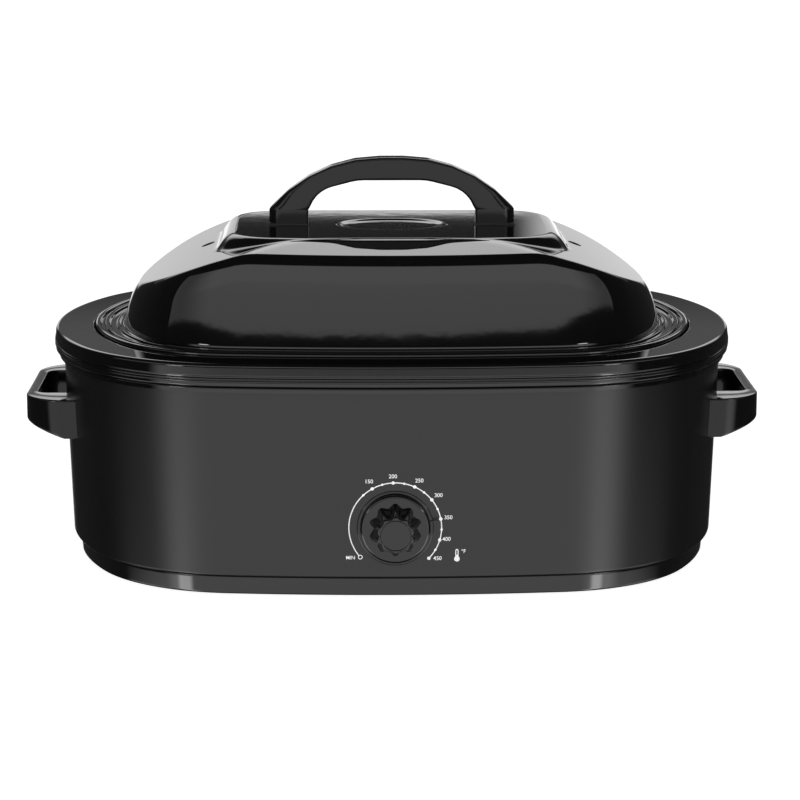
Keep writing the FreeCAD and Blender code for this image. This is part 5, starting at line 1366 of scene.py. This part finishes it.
def scale_outlines(sizes):
    """Outlines of the printed scale: arc, dots at each figure and half way, open ring at the least."""
    ring, line = sizes.scale_radius, sizes.line / 2
    shapes = []
    start, end = math.radians(SCALE_MAX), math.radians(SCALE_MIN - SCALE_GAP)
    shapes.append(np.vstack([circle_points((0, 0), ring + line, start, end, ARC_STEPS),
                             circle_points((0, 0), ring - line, end, start, ARC_STEPS)]))
    for k in range(2 * SCALE_FIGURES):
        angle = math.radians(SCALE_MAX + k * SCALE_STEP / 2)
        middle = (ring * math.cos(angle), ring * math.sin(angle))
        shapes.append(circle_outline(middle, SMALL_DOT if k % 2 else DOT))
    angle = math.radians(SCALE_MIN)
    middle = (ring * math.cos(angle), ring * math.sin(angle))
    shapes += [circle_outline(middle, MIN_RING[1]), circle_outline(middle, MIN_RING[0])[::-1]]
    return shapes


def thermometer_outlines():
    """A bulb with a stem, and the bore inside the stem."""
    x, z = THERMOMETER
    bulb = circle_points((x, z), BULB, *BULB_ENDS, 26)
    stem = circle_points((x, z + STEM_HIGH), STEM, 0, math.pi, 11)
    bore = np.vstack([circle_points((x, z + BORE_HIGH), BORE, 0, math.pi, 7),
                      circle_points((x, z + BORE_LOW), BORE, math.pi, 2 * math.pi, 7)])
    return [np.vstack([bulb, stem]), bore[::-1]]


def label_data(text, size):
    """A centred figure or word with its thickness."""
    words = bpy.data.curves.new("label", "FONT")
    words.body = text
    words.size = size
    words.align_x = "CENTER"
    words.align_y = "CENTER"
    words.extrude = INK_THICK
    words.offset = LETTER_WEIGHT
    return words


def make_print(sizes, finish):
    """Scale, figures and thermometer as thin ink that follows the body's front."""
    drawn = []
    outlines = scale_outlines(sizes)
    for group in (outlines[:1], outlines[1:-2], outlines[-2:], thermometer_outlines()):
        curve = bpy.data.curves.new("scale", "CURVE")
        curve.dimensions = "2D"
        curve.fill_mode = "BOTH"
        curve.extrude = INK_THICK
        for outline in group:
            flat_outline(curve, outline)
        drawn.append((flat_mesh(curve), (0.0, 0.0)))
    for text, share_of_size, spot in WORDS:
        drawn.append((flat_mesh(label_data(text, sizes.letter * share_of_size)), spot))
    points, faces, start = [], [], 0
    for (some_points, some_faces), (x, z) in drawn:
        lift = some_points[:, 2]
        across = KNOB_AXIS.x + x + some_points[:, 0]
        up = KNOB_AXIS.z + z + some_points[:, 1]
        ahead = -side_y(across, body_out(up)) - INK_THICK * INK_STAND - lift
        points.append(np.stack([across, ahead, up], axis=-1))
        faces += [[start + v for v in face] for face in some_faces]
        start += len(some_points)
    mesh = bpy.data.meshes.new("dial_print")
    mesh.from_pydata(np.vstack(points).tolist(), [], faces)
    mesh.update()
    return dressed(linked("dial_print", mesh), [dial_ink(finish)], "base", "body_paint")


# ======================= Stage =======================

CAMERA_ELEVATION = 0.192    # radians above the horizon
CAMERA_AZIMUTH = math.radians(-0.8)
LENS = 131.1                # lens and sensor in millimetres
SENSOR = 36.0
SHIFT = (0.0104, -0.0188)
FLOOR_REACH = 40.0
FLOOR_TONE = 0.8
FLOOR_CLOUDS = 0.01         # how far the tone varies
FLOOR_CLOUD_SCALE = 3.0
FLOOR_GLOW = 0.88           # what lifts the floor to white where the camera sees it

# Soft lights round the object, by direction, in degrees. Azimuth is measured from the front or from
# the rear, towards +X, and elevation from the horizon. For a card, dip x azimuth squared is added to the
# elevation, so its lower edge dips towards its ends. Each row: side, azimuth (low, high, blur, and the
# high end's own blur where it differs), elevation (low, high, blur below, blur above), radiance.
LIGHTS = (
    ("front", (-58, 57, 6), (-60, 8.5, 6, 3), 1.28),
    ("front", (34, 50, 4), (-60, 5, 6, 3), 0.65),
    ("front", (39, 47, 2), (-50, -22, 4, 2), 5.5),
    ("front", (48, 100, 4), (-50, -22, 4, 2), 1.6),
    ("front", (-52, -42, 2), (-50, -22, 4, 2), 5.5),
    ("front", (-100, -51, 4), (-50, -22, 4, 2), 1.6),
    ("front", (-180, 180, 0), (-91, 91, 0, 0), 0.03),
    ("front", (-50, -40, 2), (12, 16, 1, 1), 14.0),
    ("front", (40, 50, 2), (12, 16, 1, 1), 14.0),
    ("rear", (-13, 13, 3), (-60, -1.6, 6, 0.6), 1.3),
    ("rear", (-17, -3.6, 3, 0.5), (-1.6, 8.5, 0.6, 0.5), 0.95),
    ("rear", (3.6, 17, 0.5, 3), (-1.6, 8.5, 0.6, 0.5), 0.95),
    ("rear", (-30, 30, 8), (9.3, 40, 0.7, 2.5), 0.15),
    ("rear", (-30, 30, 8), (15, 40, 2, 2.5), 0.7),
    ("rear", (-3.4, 3.4, 0.4), (7.52, 7.64, 0.03, 0.03), 1.4),
    ("rear", (-30, 30, 8), (14.5, 40, 2, 2.5), 0.7),
    ("rear", (-30, 30, 8), (20, 40, 4, 2.5), 0.5),
    ("card", (-93, 91, 0.5), (20.96, 40, 0.04, 1), 0.5),
    ("card", (-62, 66, 22), (20.96, 40, 0.04, 1), 0.6),
    ("card", (-62, 66, 22), (22.0, 40, 0.6, 1), 0.2),
)
CARD_DIP = 0.00114          # degrees for each square degree of azimuth
FULL_TURN = 360
LEAST_BLUR = 1e-3


def window(tree, value, low, high, blur_low, blur_high):
    """1 between low and high, falling smoothly to nought over each blur: the product of two steps."""
    steps = []
    for edge, blur, ends in ((low, blur_low, (0.0, 1.0)), (high, blur_high, (1.0, 0.0))):
        inputs = {0: value, 1: edge - blur, 2: edge + blur + LEAST_BLUR, 3: ends[0], 4: ends[1]}
        steps.append(add_node(tree, "ShaderNodeMapRange", inputs, interpolation_type="SMOOTHSTEP"))
    return maths(tree, "MULTIPLY", *(step.outputs[0] for step in steps))


def studio_world(studio):
    """Light by direction: the sum of the rows of LIGHTS. The camera itself sees plain white."""
    world = bpy.data.worlds.new("studio")
    world.use_nodes = True
    tree = world.node_tree
    background = tree.nodes["Background"]
    place = add_node(tree, "ShaderNodeTexCoord").outputs["Generated"]
    parts = add_node(tree, "ShaderNodeSeparateXYZ", {0: place}).outputs
    elevation = maths(tree, "DEGREES", maths(tree, "ARCSINE", parts["Z"]))
    flipped = maths(tree, "MULTIPLY", parts["Y"], -1.0)
    front = maths(tree, "DEGREES", maths(tree, "ARCTAN2", parts["X"], flipped))
    rear = maths(tree, "DEGREES", maths(tree, "ARCTAN2", parts["X"], parts["Y"]))
    dipped = maths(tree, "MULTIPLY_ADD", maths(tree, "MULTIPLY", front, front), CARD_DIP, elevation)
    views = {"front": (front, elevation), "rear": (rear, elevation), "card": (front, dipped)}
    total = None
    for side, across, up, radiance in LIGHTS:
        azimuth, height = views[side]
        level = window(tree, height, *up)
        if across[1] - across[0] < FULL_TURN:
            level = maths(tree, "MULTIPLY", level, window(tree, azimuth, *across[:3], across[-1]))
        level = maths(tree, "MULTIPLY", level, radiance * studio.light)
        total = level if total is None else maths(tree, "ADD", total, level)
    seen = add_node(tree, "ShaderNodeLightPath").outputs["Is Camera Ray"]
    shown = add_node(tree, "ShaderNodeMix", {0: seen, 2: total, 3: 1.0}, data_type="FLOAT").outputs[0]
    tree.links.new(shown, background.inputs["Strength"])
    background.inputs["Color"].default_value = WHITE
    bpy.context.scene.world = world


def floor_finish():
    """White floor: even where the camera sees it, with a faint soft shadow."""
    material = bpy.data.materials.new("white_floor")
    material.use_nodes = True
    tree = material.node_tree
    principled = tree.nodes["Principled BSDF"]
    place = add_node(tree, "ShaderNodeTexCoord").outputs["Object"]
    tint = spread(tree, noise(tree, place, FLOOR_CLOUD_SCALE), FLOOR_TONE, FLOOR_CLOUDS)
    colour_node = add_node(tree, "ShaderNodeCombineColor", {0: tint, 1: tint, 2: tint})
    tree.links.new(colour_node.outputs[0], principled.inputs["Base Color"])
    principled.inputs["Roughness"].default_value = 0.9
    principled.inputs["Specular IOR Level"].default_value = 0.0
    seen = add_node(tree, "ShaderNodeLightPath").outputs["Is Camera Ray"]
    glow = maths(tree, "MULTIPLY", seen, FLOOR_GLOW)
    principled.inputs["Emission Color"].default_value = WHITE
    tree.links.new(glow, principled.inputs["Emission Strength"])
    return material


def make_floor():
    """A flat pale floor under the feet, left out of reflections."""
    corners = [(x * FLOOR_REACH, y * FLOOR_REACH, 0.0) for x, y in ((-1, -1), (1, -1), (1, 1), (-1, 1))]
    mesh = bpy.data.meshes.new("floor")
    mesh.from_pydata(corners, [], [(0, 1, 2, 3)])
    floor = linked("floor", mesh)
    floor.data.materials.append(floor_finish())
    floor.visible_glossy = False
    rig.stage(floor)


def make_camera(studio):
    """Camera in front, a little above and to the left."""
    data = bpy.data.cameras.new("camera")
    data.lens = LENS
    data.sensor_width = SENSOR
    data.shift_x, data.shift_y = SHIFT
    camera = linked("camera", data)
    aim = Vector((0.0, 0.0, studio.aim))
    level = math.cos(CAMERA_ELEVATION)
    back = Vector((math.sin(CAMERA_AZIMUTH) * level, -math.cos(CAMERA_AZIMUTH) * level,
                   math.sin(CAMERA_ELEVATION)))
    camera.location = aim + back * studio.distance
    camera.rotation_euler = (-back).to_track_quat("-Z", "Y").to_euler()
    bpy.context.scene.camera = camera


# ======================= Add-on =======================

class RoasterOperator:
    """What the operators below share: each makes one piece or one group of pieces."""
    bl_options = {"REGISTER"}


class ROASTER_OT_base(RoasterOperator, bpy.types.Operator):
    """Makes the painted body, its ring and the heating well"""
    bl_idname = "roaster.base"
    bl_label = "Body, ring and well"

    def execute(self, context):
        scene = context.scene
        for maker in (make_body, make_ring, make_well):
            maker(scene.roaster_base, scene.roaster_finish)
        return {"FINISHED"}


class ROASTER_OT_pan(RoasterOperator, bpy.types.Operator):
    """Makes the cooking pan"""
    bl_idname = "roaster.pan"
    bl_label = "Cooking pan"

    def execute(self, context):
        make_pan(context.scene.roaster_pan, context.scene.roaster_finish)
        return {"FINISHED"}


class ROASTER_OT_lid(RoasterOperator, bpy.types.Operator):
    """Makes the lid and its louvres"""
    bl_idname = "roaster.lid"
    bl_label = "Lid"

    def execute(self, context):
        make_lid(context.scene.roaster_lid, context.scene.roaster_finish)
        make_vents(context.scene.roaster_finish)
        return {"FINISHED"}


class ROASTER_OT_handles(RoasterOperator, bpy.types.Operator):
    """Makes the lid's bridge handle and the two side handles"""
    bl_idname = "roaster.handles"
    bl_label = "Handles"

    def execute(self, context):
        sizes, finish = context.scene.roaster_handles, context.scene.roaster_finish
        make_bridge(sizes, finish)
        for side in (-1, 1):
            make_grip(side, sizes, finish)
        return {"FINISHED"}


class ROASTER_OT_dial(RoasterOperator, bpy.types.Operator):
    """Makes the knob, its cap, pointer and bezel, and the printed scale"""
    bl_idname = "roaster.dial"
    bl_label = "Dial"

    def execute(self, context):
        sizes, finish = context.scene.roaster_dial, context.scene.roaster_finish
        make_bezel(finish)
        make_knob(sizes, finish)
        make_cap(finish)
        make_pointer(sizes, finish)
        make_print(sizes, finish)
        return {"FINISHED"}


class ROASTER_OT_inner(RoasterOperator, bpy.types.Operator):
    """Gives the frame's own pieces their finishes"""
    bl_idname = "roaster.inner"
    bl_label = "Inner pieces"

    def execute(self, context):
        slots = {part["node"]: part["material_slot"] for part in frame["record"]["subparts"]}
        for name, node in frame["nodes"].items():
            if node.hide_render:
                continue
            kind, base, values, metallic, bump = INNER_FINISHES[slots[name]]
            finish = surface_finish("inner_" + slots[name], kind, base, values, metallic, bump)
            node.data.materials.clear()
            node.data.materials.append(finish)
        return {"FINISHED"}


class ROASTER_OT_stage(RoasterOperator, bpy.types.Operator):
    """Makes the floor, the light and the camera"""
    bl_idname = "roaster.stage"
    bl_label = "Stage"

    def execute(self, context):
        studio = context.scene.roaster_studio
        make_camera(studio)
        make_floor()
        studio_world(studio)
        context.scene.view_settings.view_transform = "Standard"
        return {"FINISHED"}


class ROASTER_PT_panel(bpy.types.Panel):
    """Lists the pieces of the roaster oven and their sizes"""
    bl_idname = "ROASTER_PT_panel"
    bl_label = "Roaster oven"
    bl_space_type = "VIEW_3D"
    bl_region_type = "UI"
    bl_category = "Roaster"

    def draw(self, context):
        for operator, group in PANEL_ROWS:
            box = self.layout.box()
            box.operator(operator)
            settings = getattr(context.scene, group, None)
            for name in (settings.bl_rna.properties.keys() if settings else ()):
                if name not in ("rna_type", "name"):
                    box.prop(settings, name)


GROUPS = {
    "roaster_base": ROASTER_PG_base,
    "roaster_pan": ROASTER_PG_pan,
    "roaster_lid": ROASTER_PG_lid,
    "roaster_handles": ROASTER_PG_handles,
    "roaster_dial": ROASTER_PG_dial,
    "roaster_finish": ROASTER_PG_finish,
    "roaster_studio": ROASTER_PG_studio,
}
PANEL_ROWS = (("roaster.stage", "roaster_studio"), ("roaster.base", "roaster_base"),
              ("roaster.pan", "roaster_pan"), ("roaster.lid", "roaster_lid"),
              ("roaster.handles", "roaster_handles"), ("roaster.dial", "roaster_dial"),
              ("roaster.inner", "roaster_finish"))
CLASSES = (*GROUPS.values(), ROASTER_OT_stage, ROASTER_OT_base, ROASTER_OT_pan, ROASTER_OT_lid,
           ROASTER_OT_handles, ROASTER_OT_dial, ROASTER_OT_inner, ROASTER_PT_panel)


def register():
    """Registers the classes and gives the scene its groups of sizes and colours."""
    for made in CLASSES:
        bpy.utils.register_class(made)
    for name, group in GROUPS.items():
        setattr(bpy.types.Scene, name, PointerProperty(type=group))


def unregister():
    """Takes both away again."""
    for name in GROUPS:
        delattr(bpy.types.Scene, name)
    for made in reversed(CLASSES):
        bpy.utils.unregister_class(made)


def main():
    """Makes every piece in order and writes the two boxes."""
    register()
    bpy.ops.roaster.stage()
    bpy.ops.roaster.base()
    bpy.ops.roaster.pan()
    bpy.ops.roaster.lid()
    bpy.ops.roaster.handles()
    bpy.ops.roaster.dial()
    bpy.ops.roaster.inner()
    visual_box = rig.bounds()
    with open(SIZE_FILE, "w") as file:
        json.dump({"cad": [list(corner) for corner in CAD_BOX],
                   "visual": [list(corner) for corner in visual_box]}, file)


if __name__ == "__main__":
    main()
